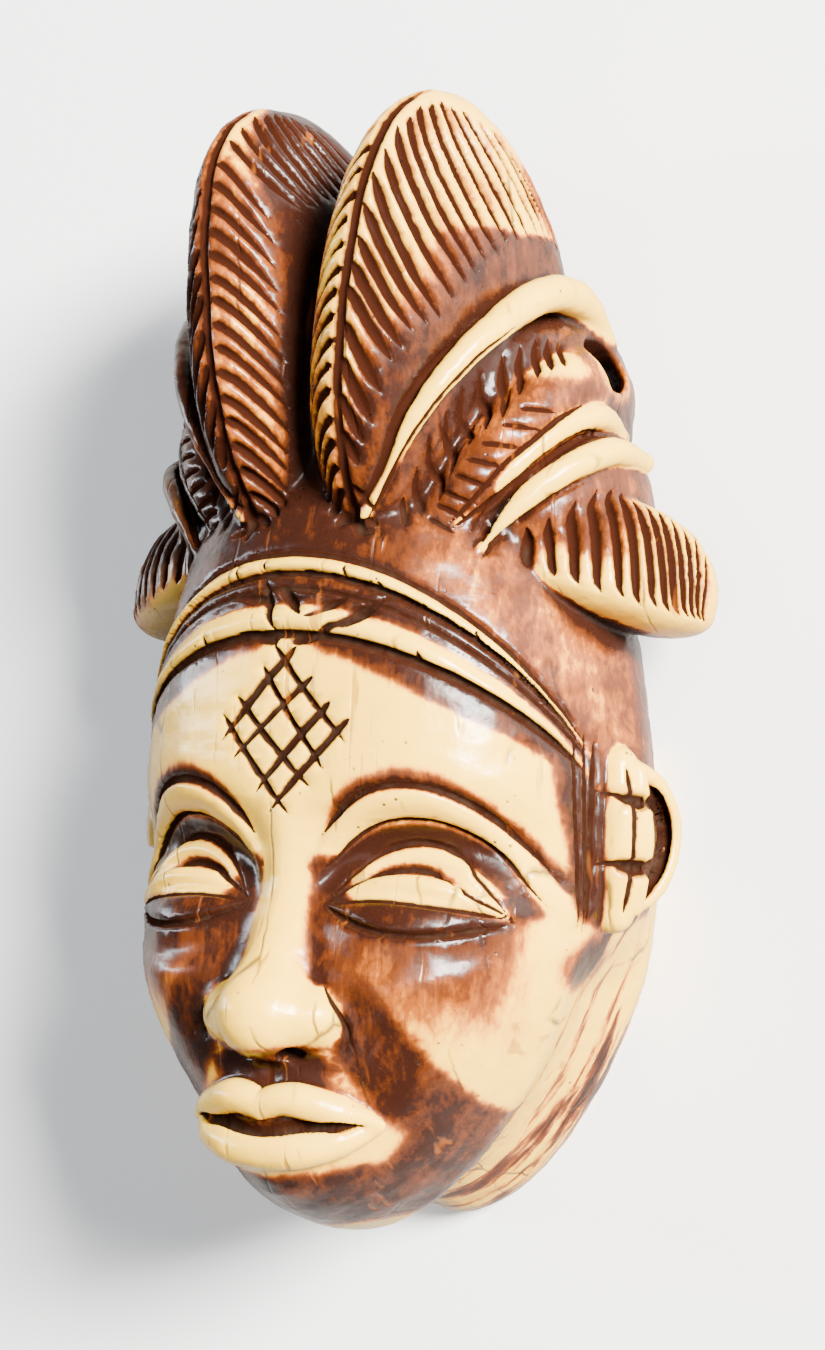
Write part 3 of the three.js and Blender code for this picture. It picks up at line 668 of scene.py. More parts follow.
# nose, lips and ears
xs = np.linspace(-8.8, 8.8, 30)
stroke(onTop(xs, mouthY - 0.35 - 0.25 * np.cos(xs * 0.5)), 0.6, 1.0, 1.0, (0.12, 0.12), both=False, hand=0.03)
ys = np.linspace(noseY - 0.9, mouthY + 2.8, 8)
stroke(onTop(0 * ys, ys), 1.1, 0.35, 0.2, (0.3, 0.3), both=False, hand=0.02)
t = np.linspace(0, 1, 12)
stroke(onTop(5.2 + 2.3 * np.sin(t * 2.2), noseY + 5.4 - 6.0 * t), 0.45, 0.45, 0.85, (0.3, 0.3), hand=0.04)
earLines = [  # path, points, width, depth, darkness, tips and how much the hand wavers
    ([(24.4, -10.6, 20.3), (25.4, -10.9, 19.7), (25.9, -11.3, 18.6), (26.3, -11.8, 16.6), (26.6, -12.2, 15.3)],
     20, 1.0, 0.95, 1.0, (0.6, 0.1), 0.03),
    ([(24.4, -17.4, 20.5), (25.4, -17.4, 19.9), (25.9, -17.5, 18.6), (26.3, -17.7, 16.7), (26.6, -17.9, 15.5)],
     20, 1.0, 0.95, 1.0, (0.6, 0.1), 0.03),
    ([(26.4, -11.0, 14.7), (26.6, -12.2, 12.6), (26.8, -13.8, 11.8), (26.8, -15.7, 11.6), (26.7, -17.5, 12.1),
      (26.3, -19.3, 13.1), (25.8, -21.0, 14.4)], 30, 0.95, 0.8, 1.0, (0.15, 0.3), 0.03),
    ([(25.9, -8.4, 18.2), (26.4, -11.5, 18.0), (26.6, -15.0, 18.1), (26.2, -18.6, 17.9), (25.2, -21.9, 17.6)],
     22, 0.42, 0.5, 1.0, (0.1, 0.1), 0.03),
    ([(23.7, -5.4, 20.0), (23.8, -10.5, 20.5), (23.8, -14.5, 20.8), (23.6, -18.5, 20.7), (23.2, -23.0, 20.4)],
     26, 0.72, 0.6, 0.8, (0.15, 0.15), 0.05),
    ([(23.2, -5.0, 21.3), (23.4, -10.5, 21.6), (23.4, -15.5, 21.5), (23.2, -19.5, 21.2), (22.8, -23.5, 20.8)],
     26, 0.34, 0.4, 0.95, (0.15, 0.15), 0.05),
    ([(22.5, -5.0, 22.4), (22.8, -10.4, 22.7), (22.8, -15.4, 22.3), (22.6, -19.5, 21.9), (22.2, -23.5, 21.4)],
     26, 0.34, 0.35, 0.8, (0.15, 0.15), 0.05),
]
for path, count, width, depth, dark, tips, shake in earLines:
    stroke(smoothPath(path, count), width, depth, dark, tips, hand=shake)
print(len(strokes), "strokes laid out")


# how deep each spot is cut, and how near a stroke's middle it lies: 1 on it, 0 at its edge
def chisel(points, outward):
    depth = np.zeros(len(points))
    middle = np.full(len(points), -1.0)
    for line, width, deep, tone in strokes:
        reach = width.max() * 2 + 1.0
        near = np.nonzero(((points > line.min(0) - reach) & (points < line.max(0) + reach)).all(1))[0]
        if not len(near):
            continue
        p, facing = points[near], outward[near]
        best, bestDeep = np.full(len(near), -1.0), np.zeros(len(near))
        for a, b, wa, wb, da, db in zip(line[:-1], line[1:], width[:-1], width[1:], deep[:-1], deep[1:]):
            ab = b - a
            t = clamp(((p - a) @ ab) / max(1e-9, ab.dot(ab)))
            rel = p - a - t[:, None] * ab
            off = (rel * facing).sum(1)
            away = np.sqrt(np.maximum(0, (rel * rel).sum(1) - knife["slant"] * off * off))
            value = np.where(np.abs(off) < knife["reachOff"], 1 - away / mix(wa, wb, t), -1)
            better = value > best
            best = np.where(better, value, best)
            bestDeep = np.where(better, mix(da, db, t), bestDeep)
        depth[near] = np.maximum(depth[near], bestDeep * (1 - (1 - clamp(best)) ** knife["grooveRound"]))
        middle[near] = np.maximum(middle[near], best - 0.6 * (1 - tone))
    return depth, middle


depth, groove = chisel(places, normals)
print("strokes cut")

# where the stain was left, from what each spot belongs to and how hollow it lies; on the left side, away from
# the key light, painted shade is added to it
x, y, z = np.abs(places[:, 0]), places[:, 1], places[:, 2]
belongs = nearest(places - 0.2 * normals, owner)


def of(*wanted):
    return np.isin(belongs, [names.index(name) for name in wanted])


tones = {
    "head": 0.0, "nose": 0.0, "lip": 0.0, "lid": 0.0, "nostril": 1.0, "earBar": 0.0, "earRim": 0.1,
    "earBowl": 0.85, "temple": 0.56, "nape": 0.7, "core": 0.8, "roll": 0.62, "rib": 0.0, "forkUpper": 0.0,
    "forkLower": 0.0, "side": 0.05, "lobe": 0.05, "hollow": 0.42, "cordHole": 0.95, "flat": 0.12,
}
stainAndShade = np.zeros(len(places))
for name, tone in tones.items():
    stainAndShade[of(name)] = tone

# the hair: smooth stained strips where the flutes run out, stained valleys, pale ribs
v, cx, cz = lobeAxis(y)
size = np.maximum(0.05, lobeTaper(v))
u = (x - cx) / (lobeWide(v, x > cx) * size)
runOut = ([17, 21, 25, 29, 31, 33, 36, 39, 40.5, 41.5],  # height, and how far round the flutes reach there
          [0.2, 0.28, 0.4, 0.5, 0.62, 0.72, 0.8, 0.86, 0.95, 1.4])
flutedTo = np.interp(y, *runOut)
outerTone = 0.04 + 0.62 * ease(flutedTo - 0.3, flutedTo, u)
innerTone = 0.07 + 0.84 * ease(0.36, 0.8, -u)
lobeTone = np.where(u > 0, outerTone, innerTone) + 0.3 * ease(24, 13, y) * (u < 0)
# partly stain, partly painted shade: the outer flank of the left lobe, on the side away from the key light, is
# darkened by 0.34
lobeTone = np.maximum(lobeTone, 0.3 * ease(cz + 1, cz - 3, z)) + 0.34 * (places[:, 0] < 0) * ease(0.0, 0.3, u)
stainAndShade = np.where(of("lobe"), lobeTone, stainAndShade)
s, rise, ahead = sideParts(x, y, z)
sideTone = 0.03 + 0.6 * ease(-0.42, -0.72, s) + 0.45 * ease(1.0, 3.5, rise) * ease(0.3, -0.2, s)
sideTone = sideTone + 0.7 * ease(-2.6, -3.3, rise)
stainAndShade = np.where(of("side"), clamp(sideTone + 0.4 * ease(2, -3, ahead)), stainAndShade)
# partly stain, partly painted shade: on the left side, away from the key light, left-facing ribs and side
# lobes are darkened, and the left ribs whichever way they face
away = ease(-4, -12, places[:, 0]) * ease(2, -1, normals[:, 0] * 6 + 2)
ribs = of("rib", "forkUpper", "forkLower")
stainAndShade = np.where(ribs | of("side"), stainAndShade + 0.3 * away + 0.55 * ease(-7, -14, places[:, 0]) * ribs, stainAndShade)
paleRoll = ease(14.0, 15.5, x) * ease(26.5, 28.5, y) * ease(15, 18, z)
plaited = ease(7, 8.5, x) * ease(7.5, 9.5, y) * ease(33, 31.5, y) * ease(11, 14, z)
valley = plaited * ease(1.5, 0.5, y - 15.9 - 1.76 * (x - 9.4))
plaited = np.where(of("lobe"), valley, plaited * of("roll", "temple", "core"))
stainAndShade = mix(np.where(of("roll"), 0.6, stainAndShade), 0.58 - 0.5 * paleRoll, plaited)

# the head: bands left pale between stained strips, stained sockets, the wall behind the jaw pale and grained
tint = {
    "aboveMiddle": 0.8, "aboveSides": 0.5, "between": 0.7, "under": 0.68, "overBrow": 0.6,
    "beyond": 0.6, "crown": 0.56, "socket": 0.72, "crescent": 0.76, "fade": 0.66, "flow": 0.7, "overLip": 0.76,
    "ear": 0.85, "wall": 0.1, "lowWall": 0.5, "noseSide": 0.55, "noseBase": 0.6,
}
drop = bandDrop(x, y)
above = ease(-0.6, -1.0, drop)
between = ease(0.7, 1.1, drop) * ease(3.9, 3.5, drop)
ragged = 7.6 + 2.6 * ease(2, 18, x)
under = ease(6.1, 6.5, drop) * ease(ragged + 0.9, ragged - 0.5, drop) * ease(1.0, 4, x)
overBrow = ease(1.2, 1.6, y - browLine(x)) * ease(4.2, 2.2, y - browLine(x)) * ease(3, 6, x)
beyond = ease(-0.3, 0.5, x - 21.3 + 0.1 * (y + 5)) * ease(-25.5, -23.5, y) * ease(6.1, 6.5, drop)
crown = ease(-9, -5, y) * ease(20, 12, z)
socket = ease(-0.3, 0.5, browLine(x) - 1.9 - y) * ease(-0.2, 0.5, y - lidLine(x, 5.9)) * ease(2.6, 4.2, x)
socket = socket * ease(22.0, 20.8, x)
lower = lidLine(x, -1.6)
crescent = ease(0.0, 0.5, lidLine(x, 1.3) - y) * ease(-2.2, 0.6, y - lower)
crescent = crescent * ease(8.6, 7.4, np.abs(x - face["eyeX"]))
fade = clamp(1 - (lower - y) / 14.0) * (y < lower) * ease(11, 6.5, np.abs(x - face["eyeX"] + 0.8))
flow = {
    "knots": [(3.6, eyeY + 1), (5.8, noseY + 8), (8.4, noseY + 2), (11.6, mouthY + 3), (13.2, mouthY - 2),
              (10.4, mouthY - 6.5), (4, mouthY - 7.6), (0, mouthY - 7.8)],
    "reach": [3.2, 4.2, 5.4, 4.8, 4.6, 4.8, 4.6, 4.6],
}
run = np.zeros(len(places))
knots, reaches = flow["knots"], flow["reach"]
for (ax, ay), (bx, by), ra, rb in zip(knots[:-1], knots[1:], reaches[:-1], reaches[1:]):
    t = clamp(((x - ax) * (bx - ax) + (y - ay) * (by - ay)) / ((bx - ax) ** 2 + (by - ay) ** 2))
    run = np.maximum(run, hill(np.hypot(x - mix(ax, bx, t), y - mix(ay, by, t)) / mix(ra, rb, t)))
run = ease(0.08, 0.62, run)
overLip = ease(0.08, 0.6, hill(np.hypot(x / 9.5, (y - mouthY - 4.8) / 3.2)))
wall = ease(20, 15, z) * ease(-18, -26, y)
besideEar = hill(np.hypot((y + 26.6) / 4.2, (z - 18.0) / 7.0)) * (x > 15)
lowWall = hill((z - 3) / 6.5) * hill((y + 40) / 9.0)
patches = {
    "between": between, "under": under, "overBrow": overBrow, "beyond": beyond, "crown": crown,
    "ear": besideEar, "wall": wall, "lowWall": lowWall,
}
facePatches = {"socket": socket, "crescent": crescent, "fade": fade, "flow": run, "overLip": overLip}
headTone = mix(tint["aboveMiddle"], tint["aboveSides"], ease(3, 14, x)) * above
for name, patch in patches.items():
    headTone = np.maximum(headTone, tint[name] * patch)
for name, patch in facePatches.items():
    headTone = np.maximum(headTone, tint[name] * patch * (z > 16))
stainAndShade = np.where(of("head"), headTone, stainAndShade)
noseSide, noseBase = ease(1.8, 3.4, x) * ease(noseY + 5, noseY + 8, y), ease(noseY + 0.6, noseY - 0.8, y)
noseTone = np.maximum(tint["noseSide"] * noseSide, tint["noseBase"] * noseBase)
stainAndShade = np.where(of("nose"), noseTone, stainAndShade)

inCuts = of("hollow", "flat")
hollowTone = 0.7 * ease(0.05, 0.22, fineHollow) + 0.6 * ease(0.06, 0.2, broadHollow)
proud = ease(-0.05, -0.17, fineHollow)
bleed = 0.24 * ease(-0.7, 0.1, groove) * (1 - 0.8 * plaited)
caught = 1 - 0.35 * of("earRim", "earBar") - 0.8 * np.maximum(plaited, 0.7 * valley)
stainAndShade = np.where(inCuts, stainAndShade, clamp(stainAndShade + hollowTone * caught + bleed))
stainAndShade = stainAndShade * (1 - 0.4 * proud * ~inCuts)
# partly stain, partly painted shade: darker toward the left side, away from the key light, and higher up
stainAndShade = np.where(inCuts, stainAndShade, stainAndShade + 0.12 * ease(4, -8, places[:, 0]) * ease(2, 12, y))
stainAndShade = evenOut(stainAndShade, 3)
dusty = of("head", "lip", "earBowl", "earBar", "nose", "lid")
deepest = clamp(ease(0.16, 0.3, broadHollow) + 0.9 * dusty * ease(0.35, 0.8, groove) + 0.8 * of("earBowl"))
deepest = evenOut(np.where(inCuts, 0.25, deepest), 2)
wallGrain = evenOut(wall * of("head"), 6)
print("stain laid")

# the hand: strokes sunk in, flats left by the knife, and a mask that is nowhere quite even
hand = {"facet": 0.04, "fine": 0.022, "gouge": 0.09, "waver": 0.22}
waves = rng.normal(0, 1, (10, 3)) * 0.55
phases = rng.uniform(0, 6.28, 10)
facets = sum(np.sin(places @ w * 1.6 + p) for w, p in zip(waves, phases)) / 3.2
gouges = sum(np.sin(places @ w * 2.3 + 2 * p) for w, p in zip(waves[::2], phases[::2])) / 2
fine = sum(np.sin(places @ w * 4.2 + 3 * p) for w, p in zip(waves, phases)) / 3.2
push = -depth + (hand["facet"] * facets + hand["fine"] * fine) * ~of("flat")
push = push + hand["gouge"] * gouges * of("hollow")
sunk = places + normals * push[:, None]
slow = rng.normal(0, 1, (3, 4, 3)) * 0.045
turns = rng.uniform(0, 6.28, (3, 4))
for axis in range(2):
    waver = sum(np.sin(places @ w + p) for w, p in zip(slow[axis], turns[axis])) / 2
    sunk[:, axis] += hand["waver"] * waver * ease(-0.5, 5, z)
sunk[:, 2] = np.where(z < 0.02, np.maximum(0, z), np.maximum(0, sunk[:, 2]))

mesh = bpy.data.meshes.new("carving")
mesh.vertices.add(len(sunk))
mesh.vertices.foreach_set("co", (sunk * 0.001).astype(np.float32).ravel())
mesh.loops.add(quads.size)
mesh.loops.foreach_set("vertex_index", quads.astype(np.int32).ravel())
mesh.polygons.add(len(quads))
mesh.polygons.foreach_set("loop_start", np.arange(0, quads.size, 4, dtype=np.int32))
mesh.update(calc_edges=True)
inner = evenOut(1.0 * inCuts, 2)
layers = {"stainAndShade": stainAndShade, "groove": groove, "dust": deepest, "wall": wallGrain, "inner": inner}
for name, values in layers.items():
    layer = mesh.attributes.new(name, "FLOAT", "POINT")
    layer.data.foreach_set("value", values.astype(np.float32))
carving = bpy.data.objects.new("carving", mesh)
bpy.context.scene.collection.objects.link(carving)


# materials: each helper adds a node in the tree of the sockets that it is given
def feed(slot, value):  # links a socket, or sets a plain number or colour
    if hasattr(value, "is_linked"):
        slot.id_data.links.new(value, slot)
    else:
        slot.default_value = (*value, 1) if slot.type == "RGBA" else value


def number(how, *values, clampIt=False):
    tree = next(value for value in values if hasattr(value, "is_linked")).id_data
    made = tree.nodes.new("ShaderNodeMath")
    made.operation = how
    made.use_clamp = clampIt
    for slot, value in zip(made.inputs, values):
        feed(slot, value)
    return made.outputs[0]


def plus(a, b, clampIt=False):
    return number("ADD", a, b, clampIt=clampIt)


def minus(a, b, clampIt=False):
    return number("SUBTRACT", a, b, clampIt=clampIt)


def times(a, b, clampIt=False):
    return number("MULTIPLY", a, b, clampIt=clampIt)


def rising(value, low, gain):  # 0 up to low, then up to 1
    return times(minus(value, low), gain, clampIt=True)


def stops(factor, colours):
    made = factor.id_data.nodes.new("ShaderNodeValToRGB")
    elements = made.color_ramp.elements
    while len(elements) < len(colours):
        elements.new(0.5)
    for element, (at, colour) in zip(elements, colours):
        element.position = at
        element.color = (*colour, 1)
    feed(made.inputs[0], factor)
    return made.outputs[0]


def blend(factor, a, b, how="MIX"):
    made = factor.id_data.nodes.new("ShaderNodeMix")
    made.data_type = "RGBA"
    made.blend_type = how
    for slot, value in ((made.inputs[0], factor), (made.inputs[6], a), (made.inputs[7], b)):
        feed(slot, value)
    return made.outputs[2]


def attribute(tree, name):
    made = tree.nodes.new("ShaderNodeAttribute")
    made.attribute_name = name
    return made.outputs["Fac"]


def stretched(where, scale):
    made = where.id_data.nodes.new("ShaderNodeMapping")
    made.inputs["Scale"].default_value = scale
    feed(made.inputs["Vector"], where)
    return made.outputs[0]


def noise(where, scale, detail=4.0, rough=0.6, stretch=None, warp=0.0):
    made = where.id_data.nodes.new("ShaderNodeTexNoise")
    values = {"Vector": stretched(where, stretch) if stretch else where, "Scale": scale, "Detail": detail,
              "Roughness": rough, "Distortion": warp}
    for name, value in values.items():
        feed(made.inputs[name], value)
    return made.outputs["Fac"]


def bump(height, strength, distance, under=None):
    made = height.id_data.nodes.new("ShaderNodeBump")
    made.inputs["Strength"].default_value = strength
    made.inputs["Distance"].default_value = distance
    feed(made.inputs["Height"], height)
    if under is not None:
        feed(made.inputs["Normal"], under)
    return made.outputs["Normal"]


def newMaterial(name):  # the material, its tree and shader, and where each spot lies on the object
    made = bpy.data.materials.new(name)
    made.use_nodes = True
    tree = made.node_tree
    where = tree.nodes.new("ShaderNodeTexCoord").outputs["Object"]
    return made, tree, tree.nodes["Principled BSDF"].inputs, where


ivory = {
    "pale": (0.83, 0.49, 0.026), "cream": (0.77, 0.4, 0.02), "honey": (0.56, 0.21, 0.013),
    "tan": (0.25, 0.062, 0.006), "russet": (0.092, 0.0205, 0.0034), "brown": (0.024, 0.0062, 0.0026),
    "umber": (0.019, 0.0052, 0.0026), "black": (0.009, 0.004, 0.0026), "dust": (0.050, 0.034, 0.021),
    "paintedShadeGrey": (0.17, 0.115, 0.062), "warm": (0.93, 0.80, 0.60), "rough": 0.25, "stainRough": 0.28, "ior": 1.54,
    "deepCracks": 0.85, "scratches": 0.5, "dusting": 0.4, "growthLines": 0.5, "wallLines": 3.4,
    "shine": 0.3, "stainedShine": 0.14, "grooveShine": 0.26, "dustShine": 0.3,
    "scatter": 0.12, "scatterColours": (1.0, 0.6, 0.3), "scatterDepth": 0.0012,
    "hollowHoney": (0.66, 0.44, 0.21), "hollowTan": (0.38, 0.19, 0.075), "hollowBrown": (0.12, 0.045, 0.02),
    "hollowRough": 0.46,
}
cracking = {"cell": 115, "stretch": (1.5, 0.3, 0.6), "sway": 0.0009, "thinness": 36}
pores = {"scale": 700, "size": 0.14}
ragging = {  # how the stain's edge is broken up
    "ragged": 0.45, "brushed": 0.5, "grainy": 0.22, "middle": 0.585, "least": 0.3, "most": 1.3, "cloudy": 0.5,
}


def makeGrain():  # growth lines, hairline cracks and pores, shared by both finishes
    group = bpy.data.node_groups.new("ivoryGrain", "ShaderNodeTree")
    for name in ("Scale", "Streaks", "Lines", "Cracks", "Pores"):
        way = "INPUT" if name in ("Scale", "Streaks") else "OUTPUT"
        socket = group.interface.new_socket(name, in_out=way, socket_type="NodeSocketFloat")
        if way == "INPUT":
            socket.default_value = 1.0
    entry = group.nodes.new("NodeGroupInput").outputs
    leave = group.nodes.new("NodeGroupOutput").inputs
    scaled = group.nodes.new("ShaderNodeVectorMath")
    scaled.operation = "SCALE"
    feed(scaled.inputs[0], group.nodes.new("ShaderNodeTexCoord").outputs["Object"])
    feed(scaled.inputs["Scale"], entry["Scale"])
    where = scaled.outputs[0]
    broad = noise(where, 420, 5, 0.62, (0.12, 0.16, 1.0), 0.3)
    fine = noise(where, 900, 4, 0.6, (0.08, 0.12, 1.0), 0.2)
    feed(leave["Lines"], plus(times(broad, 0.65), times(fine, 0.35)))

    sway = times(noise(where, 260, 4, 0.6), cracking["sway"])
    offset = group.nodes.new("ShaderNodeCombineXYZ")
    moved = group.nodes.new("ShaderNodeVectorMath")
    for slot in offset.inputs:
        feed(slot, sway)
    feed(moved.inputs[0], where)
    feed(moved.inputs[1], offset.outputs[0])
    cell = group.nodes.new("ShaderNodeTexVoronoi")
    cell.feature = "DISTANCE_TO_EDGE"
    cell.inputs["Scale"].default_value = cracking["cell"]
    feed(cell.inputs["Vector"], stretched(moved.outputs[0], cracking["stretch"]))
    thin = minus(1.0, times(cell.outputs["Distance"], cracking["thinness"]), clampIt=True)
    some = rising(noise(where, 120, 2), 0.5, 9.0)
    feed(leave["Cracks"], times(times(thin, some), entry["Streaks"]))

    dots = group.nodes.new("ShaderNodeTexVoronoi")
    dots.inputs["Scale"].default_value = pores["scale"]
    feed(dots.inputs["Vector"], where)
    few = rising(noise(where, 190, 2), 0.56, 14.0)
    dot = times(minus(pores["size"], dots.outputs["Distance"]), 16.0, clampIt=True)
    feed(leave["Pores"], times(dot, few))
    return group


grain = makeGrain()


def useGrain(tree, scale, streaks):
    made = tree.nodes.new("ShaderNodeGroup")
    made.node_tree = grain
    made.inputs["Scale"].default_value = scale
    made.inputs["Streaks"].default_value = streaks
    return made.outputs


def makePolished():
    made, tree, shader, where = newMaterial("polishedIvory")
    marks = useGrain(tree, 1.0, 1.0)
    stainedAndShaded, cutIn, dusty, wallIn = (attribute(tree, name) for name in ("stainAndShade", "groove", "dust", "wall"))
    ragged = noise(where, 330, 7, 0.68, warp=0.6)
    brushed = noise(where, 260, 6, 0.7, (2.6, 0.5, 0.8), 0.4)
    cloudy = noise(where, 75, 3, 0.5)
    grainy = noise(where, 1500, 3, 0.6, (1.6, 0.5, 1.0))
    rag = plus(times(ragged, ragging["ragged"]), times(brushed, ragging["brushed"]))
    rag = minus(plus(rag, times(grainy, ragging["grainy"])), ragging["middle"])

    # how far the stain has gone in, with the painted shade of the left side in it: ragged at its edge, drawn
    # out along the growth lines
    level = plus(stainedAndShaded, times(rag, plus(ragging["least"], times(stainedAndShaded, ragging["most"]))))
    level = plus(level, times(minus(cloudy, 0.46), ragging["cloudy"]))
    lineWeight = plus(ivory["growthLines"], times(wallIn, ivory["wallLines"]))
    level = plus(level, times(minus(marks["Lines"], 0.5), lineWeight), clampIt=True)
    colour = stops(level, [(0.0, ivory["pale"]), (0.13, ivory["pale"]), (0.25, ivory["cream"]),
                           (0.34, ivory["honey"]), (0.42, ivory["tan"]), (0.54, ivory["russet"]),
                           (0.78, ivory["umber"])])
    warm = rising(noise(where, 55, 4, 0.6), 0.42, 1.5)
    colour = blend(times(warm, 0.5), colour, ivory["warm"], "MULTIPLY")
    # painted shade: pale ivory on the left side, away from the key light, is greyed toward a dull shade colour
    apart = tree.nodes.new("ShaderNodeSeparateXYZ")
    feed(apart.inputs[0], where)
    shady = times(minus(-0.015, apart.outputs[0]), 180.0, clampIt=True)
    colour = blend(times(shady, minus(0.66, times(level, 0.66)), clampIt=True), colour, ivory["paintedShadeGrey"])

    # dark cuts, cracks, pores, scratches and the dust that sits in them
    cutEdge = plus(cutIn, times(rag, 0.35))
    inGroove = rising(cutEdge, 0.08, 3.2)
    deepTone = stops(cutEdge, [(0.08, ivory["russet"]), (0.26, ivory["brown"]), (0.7, ivory["umber"])])
    deepTone = blend(times(dusty, 0.7), deepTone, ivory["black"])
    colour = blend(inGroove, colour, deepTone)
    colour = blend(times(marks["Cracks"], ivory["deepCracks"]), colour, ivory["umber"])
    colour = blend(times(marks["Pores"], ivory["deepCracks"]), colour, ivory["black"])
    scratched = rising(noise(where, 800, 2, 0.5, (1.0, 0.09, 0.3), 0.1), 0.66, 14.0)
    colour = blend(times(scratched, ivory["scratches"]), colour, ivory["tan"])
    dustIn = times(times(dusty, rising(noise(where, 600, 5, 0.7), 0.42, 4.0)), ivory["dusting"])
    feed(shader["Base Color"], blend(dustIn, colour, ivory["dust"]))

    rough = plus(ivory["rough"], times(level, ivory["stainRough"] - ivory["rough"]))
    rough = plus(rough, times(minus(ragged, 0.5), 0.22))
    rough = plus(rough, times(inGroove, 0.25))
    feed(shader["Roughness"], plus(rough, times(dustIn, 0.5), clampIt=True))
    shine = minus(ivory["shine"], times(level, ivory["stainedShine"]))
    shine = minus(shine, times(inGroove, ivory["grooveShine"]))
    feed(shader["Specular IOR Level"], minus(shine, times(dustIn, ivory["dustShine"]), clampIt=True))
    shader["IOR"].default_value = ivory["ior"]
    shader["Subsurface Weight"].default_value = ivory["scatter"]
    shader["Subsurface Radius"].default_value = ivory["scatterColours"]
    shader["Subsurface Scale"].default_value = ivory["scatterDepth"]
    dents = bump(noise(where, 300, 3, 0.55, (1.0, 0.7, 1.0)), 0.3, 0.0004)
    scrapes = bump(noise(where, 900, 4, 0.6, (0.4, 1.6, 1.0)), 0.22, 0.00008, dents)
    pits = plus(plus(marks["Cracks"], marks["Pores"]), scratched)
    feed(shader["Normal"], bump(times(pits, -1.0), 0.6, 0.00012, scrapes))
    return made


def makeGouged():
    made, tree, shader, where = newMaterial("gougedIvory")
    marks = useGrain(tree, 0.8, 1.0)
    cloudy = minus(noise(where, 120, 6, 0.65), 0.5)
    level = plus(attribute(tree, "stainAndShade"), times(cloudy, 0.7))
    level = plus(level, times(minus(marks["Lines"], 0.5), 0.9), clampIt=True)
    colour = stops(level, [(0.0, ivory["pale"]), (0.3, ivory["hollowHoney"]), (0.55, ivory["hollowTan"]),
                           (0.9, ivory["hollowBrown"])])
    colour = blend(times(marks["Cracks"], 0.7), colour, ivory["umber"])
    feed(shader["Base Color"], blend(times(marks["Pores"], 0.7), colour, ivory["black"]))
    feed(shader["Roughness"], plus(ivory["hollowRough"], times(cloudy, 0.5), clampIt=True))
    shader["IOR"].default_value = ivory["ior"]
    feed(shader["Normal"], bump(noise(where, 500, 4, 0.6, (0.5, 1.4, 1.0)), 0.4, 0.0002))
    return made


# a small tree of geometry nodes sets the finish: even shading, then the polished front and the worked back
def makeFinish():
    tree = bpy.data.node_groups.new("carvedFinish", "GeometryNodeTree")
    tree.is_modifier = True
    tree.interface.new_socket("Geometry", in_out="OUTPUT", socket_type="NodeSocketGeometry")
    inputs = {"Geometry": "Geometry", "Inner limit": "Float", "Polished": "Material", "Gouged": "Material"}
    for name, kind in inputs.items():
        tree.interface.new_socket(name, in_out="INPUT", socket_type="NodeSocket" + kind)
    entry = tree.nodes.new("NodeGroupInput").outputs
    leave = tree.nodes.new("NodeGroupOutput").inputs
    inner = tree.nodes.new("GeometryNodeInputNamedAttribute")
    inner.data_type = "FLOAT"
    inner.inputs["Name"].default_value = "inner"
    isInner = tree.nodes.new("FunctionNodeCompare")
    isInner.data_type = "FLOAT"
    isInner.operation = "GREATER_THAN"
    feed(isInner.inputs[0], inner.outputs["Attribute"])
    feed(isInner.inputs[1], entry["Inner limit"])
    shape = entry["Geometry"]
    kinds = ("SetShadeSmooth", "RealizeInstances", "SetMaterial", "SetMaterial")
    chain = [tree.nodes.new("GeometryNode" + kind) for kind in kinds]
    for step in chain:
        feed(step.inputs["Geometry"], shape)
        shape = step.outputs[0]
    feed(chain[2].inputs["Material"], entry["Polished"])
    feed(chain[3].inputs["Material"], entry["Gouged"])
    feed(chain[3].inputs["Selection"], isInner.outputs[0])
    feed(leave[0], shape)
    return tree


finish = {"triangles": 192000, "innerLimit": 0.5}
thin = carving.modifiers.new("thin", "DECIMATE")
thin.ratio = finish["triangles"] / (2 * len(quads))
thin.use_collapse_triangulate = True
dress = carving.modifiers.new("dress", "NODES")
dress.node_group = makeFinish()
items = dress.node_group.interface.items_tree
sockets = {item.name: item.identifier for item in items if item.in_out == "INPUT"}
settings = {"Inner limit": finish["innerLimit"], "Polished": makePolished(), "Gouged": makeGouged()}
for name, value in settings.items():
    dress[sockets[name]] = value
bpy.context.view_layer.update()
evaluated = carving.evaluated_get(bpy.context.evaluated_depsgraph_get())
maskMesh = bpy.data.meshes.new_from_object(evaluated)
maskMesh.name = "maskCarving"
mask = bpy.data.objects.new("maskCarving", maskMesh)
bpy.context.scene.collection.objects.link(mask)
bpy.data.objects.remove(carving)
print("mask finished,", len(maskMesh.polygons), "faces")

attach(mask, "root")
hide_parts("mask")

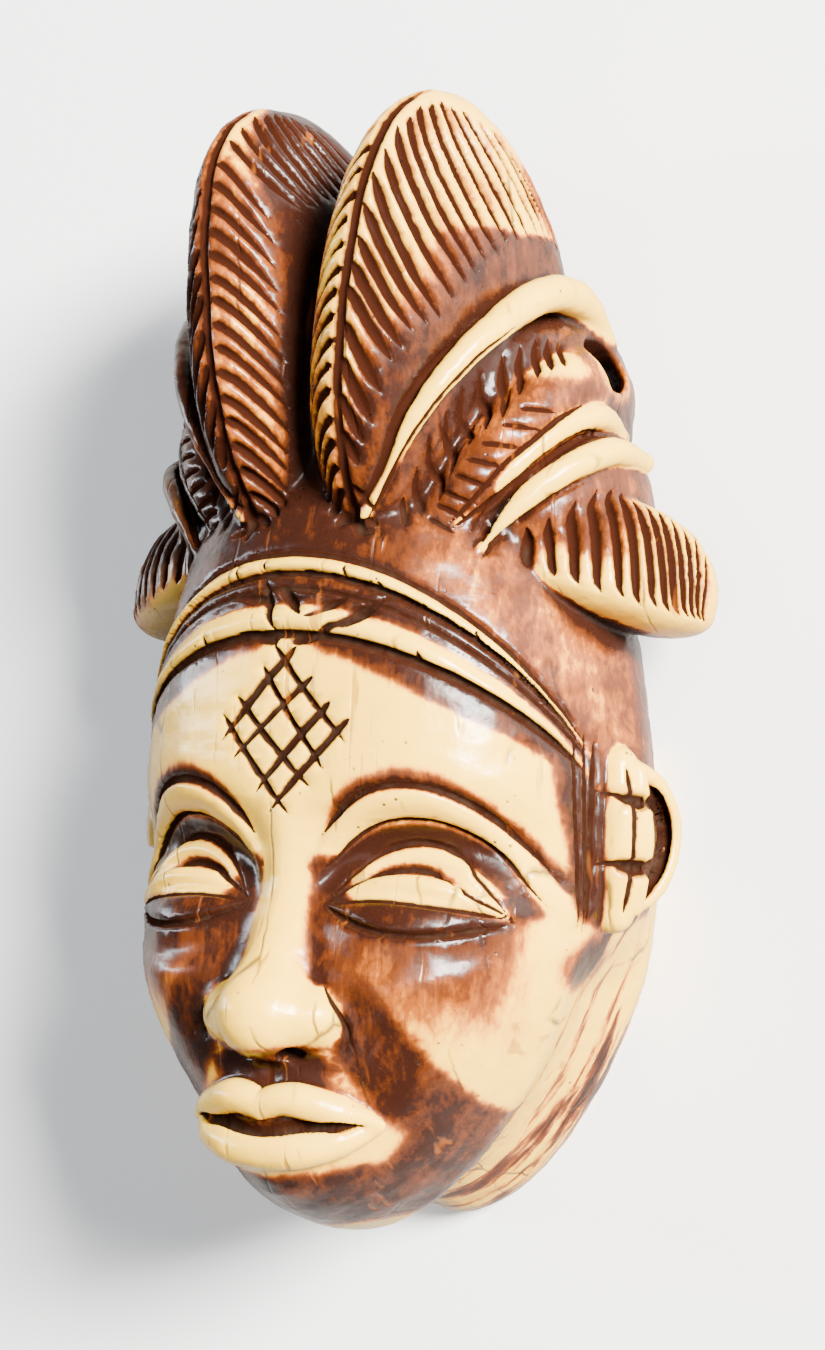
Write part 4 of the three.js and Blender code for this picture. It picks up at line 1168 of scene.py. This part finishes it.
# table top, camera and soft daylight
studio = {
    "bounce": (0.38, 0.37, 0.36), "sky": (0.90, 0.93, 1.0), "skyStrength": 0.12, "backdrop": 2.6,
    "turn": 30.0, "distance": 0.275, "aimZ": 0.018, "lens": 2888 / 1350 * 36, "shiftX": (412.5 - 382) / 1350,
}
floorMesh = bpy.data.meshes.new("tableTop")
floorMesh.from_pydata([(-2, -2, 0), (2, -2, 0), (2, 2, 0), (-2, 2, 0)], [], [(0, 1, 2, 3)])
floor = bpy.data.objects.new("tableTop", floorMesh)
bpy.context.scene.collection.objects.link(floor)
paper, paperTree, paperShader, where = newMaterial("paleTable")
seen = paperTree.nodes.new("ShaderNodeLightPath").outputs["Is Camera Ray"]
tableTone = stops(noise(where, 9, 3, 0.5), [(0.3, (0.90, 0.91, 0.92)), (0.7, (0.93, 0.935, 0.94))])
feed(paperShader["Base Color"], blend(seen, studio["bounce"], tableTone))
paperShader["Roughness"].default_value = 0.55
floorMesh.materials.append(paper)

turn = math.radians(studio["turn"])
outward = Vector((math.sin(turn), 0, math.cos(turn)))
right = Vector((math.cos(turn), 0, -math.sin(turn)))
cameraData = bpy.data.cameras.new("camera")
cameraData.sensor_fit = "VERTICAL"
cameraData.sensor_height = 36
cameraData.lens = studio["lens"]
cameraData.shift_x = studio["shiftX"]
cameraData.clip_start = 0.01
camera = bpy.data.objects.new("camera", cameraData)
bpy.context.scene.collection.objects.link(camera)
basis = Matrix((right, Vector((0, 1, 0)), outward)).transposed().to_4x4()
stand = Vector((0, 0, studio["aimZ"])) + outward * studio["distance"]
camera.matrix_world = Matrix.Translation(stand) @ basis
bpy.context.scene.camera = camera

lamps = [  # name, place, aim, size, power, colour
    ("windowRight", (0.98, 0.4, 0.63), (0, 0, 0.01), (0.36, 0.46), 150.0, (1.0, 0.97, 0.92)),
    ("windowLeft", (-0.8, 0.15, 0.35), (0, 0, 0.02), (0.12, 0.7), 9.0, (0.88, 0.93, 1.0)),
    ("ceiling", (0.1, -0.2, 1.3), (0, 0, 0), (0.8, 0.8), 4.0, (1.0, 0.99, 0.97)),
]
for name, place, aim, size, power, colour in lamps:
    data = bpy.data.lights.new(name, "AREA")
    data.shape = "RECTANGLE"
    data.size, data.size_y = size
    data.energy = power
    data.color = colour
    lamp = bpy.data.objects.new(name, data)
    bpy.context.scene.collection.objects.link(lamp)
    lamp.location = place
    lamp.rotation_euler = (Vector(aim) - Vector(place)).to_track_quat("-Z", "Y").to_euler()
world = bpy.data.worlds.new("room")
world.use_nodes = True
room = world.node_tree
sky = room.nodes["Background"].inputs
straightOn = room.nodes.new("ShaderNodeLightPath").outputs["Is Camera Ray"]
feed(sky["Color"], studio["sky"])
feed(sky["Strength"], plus(studio["skyStrength"], times(straightOn, studio["backdrop"])))
bpy.context.scene.world = world
print("studio set")
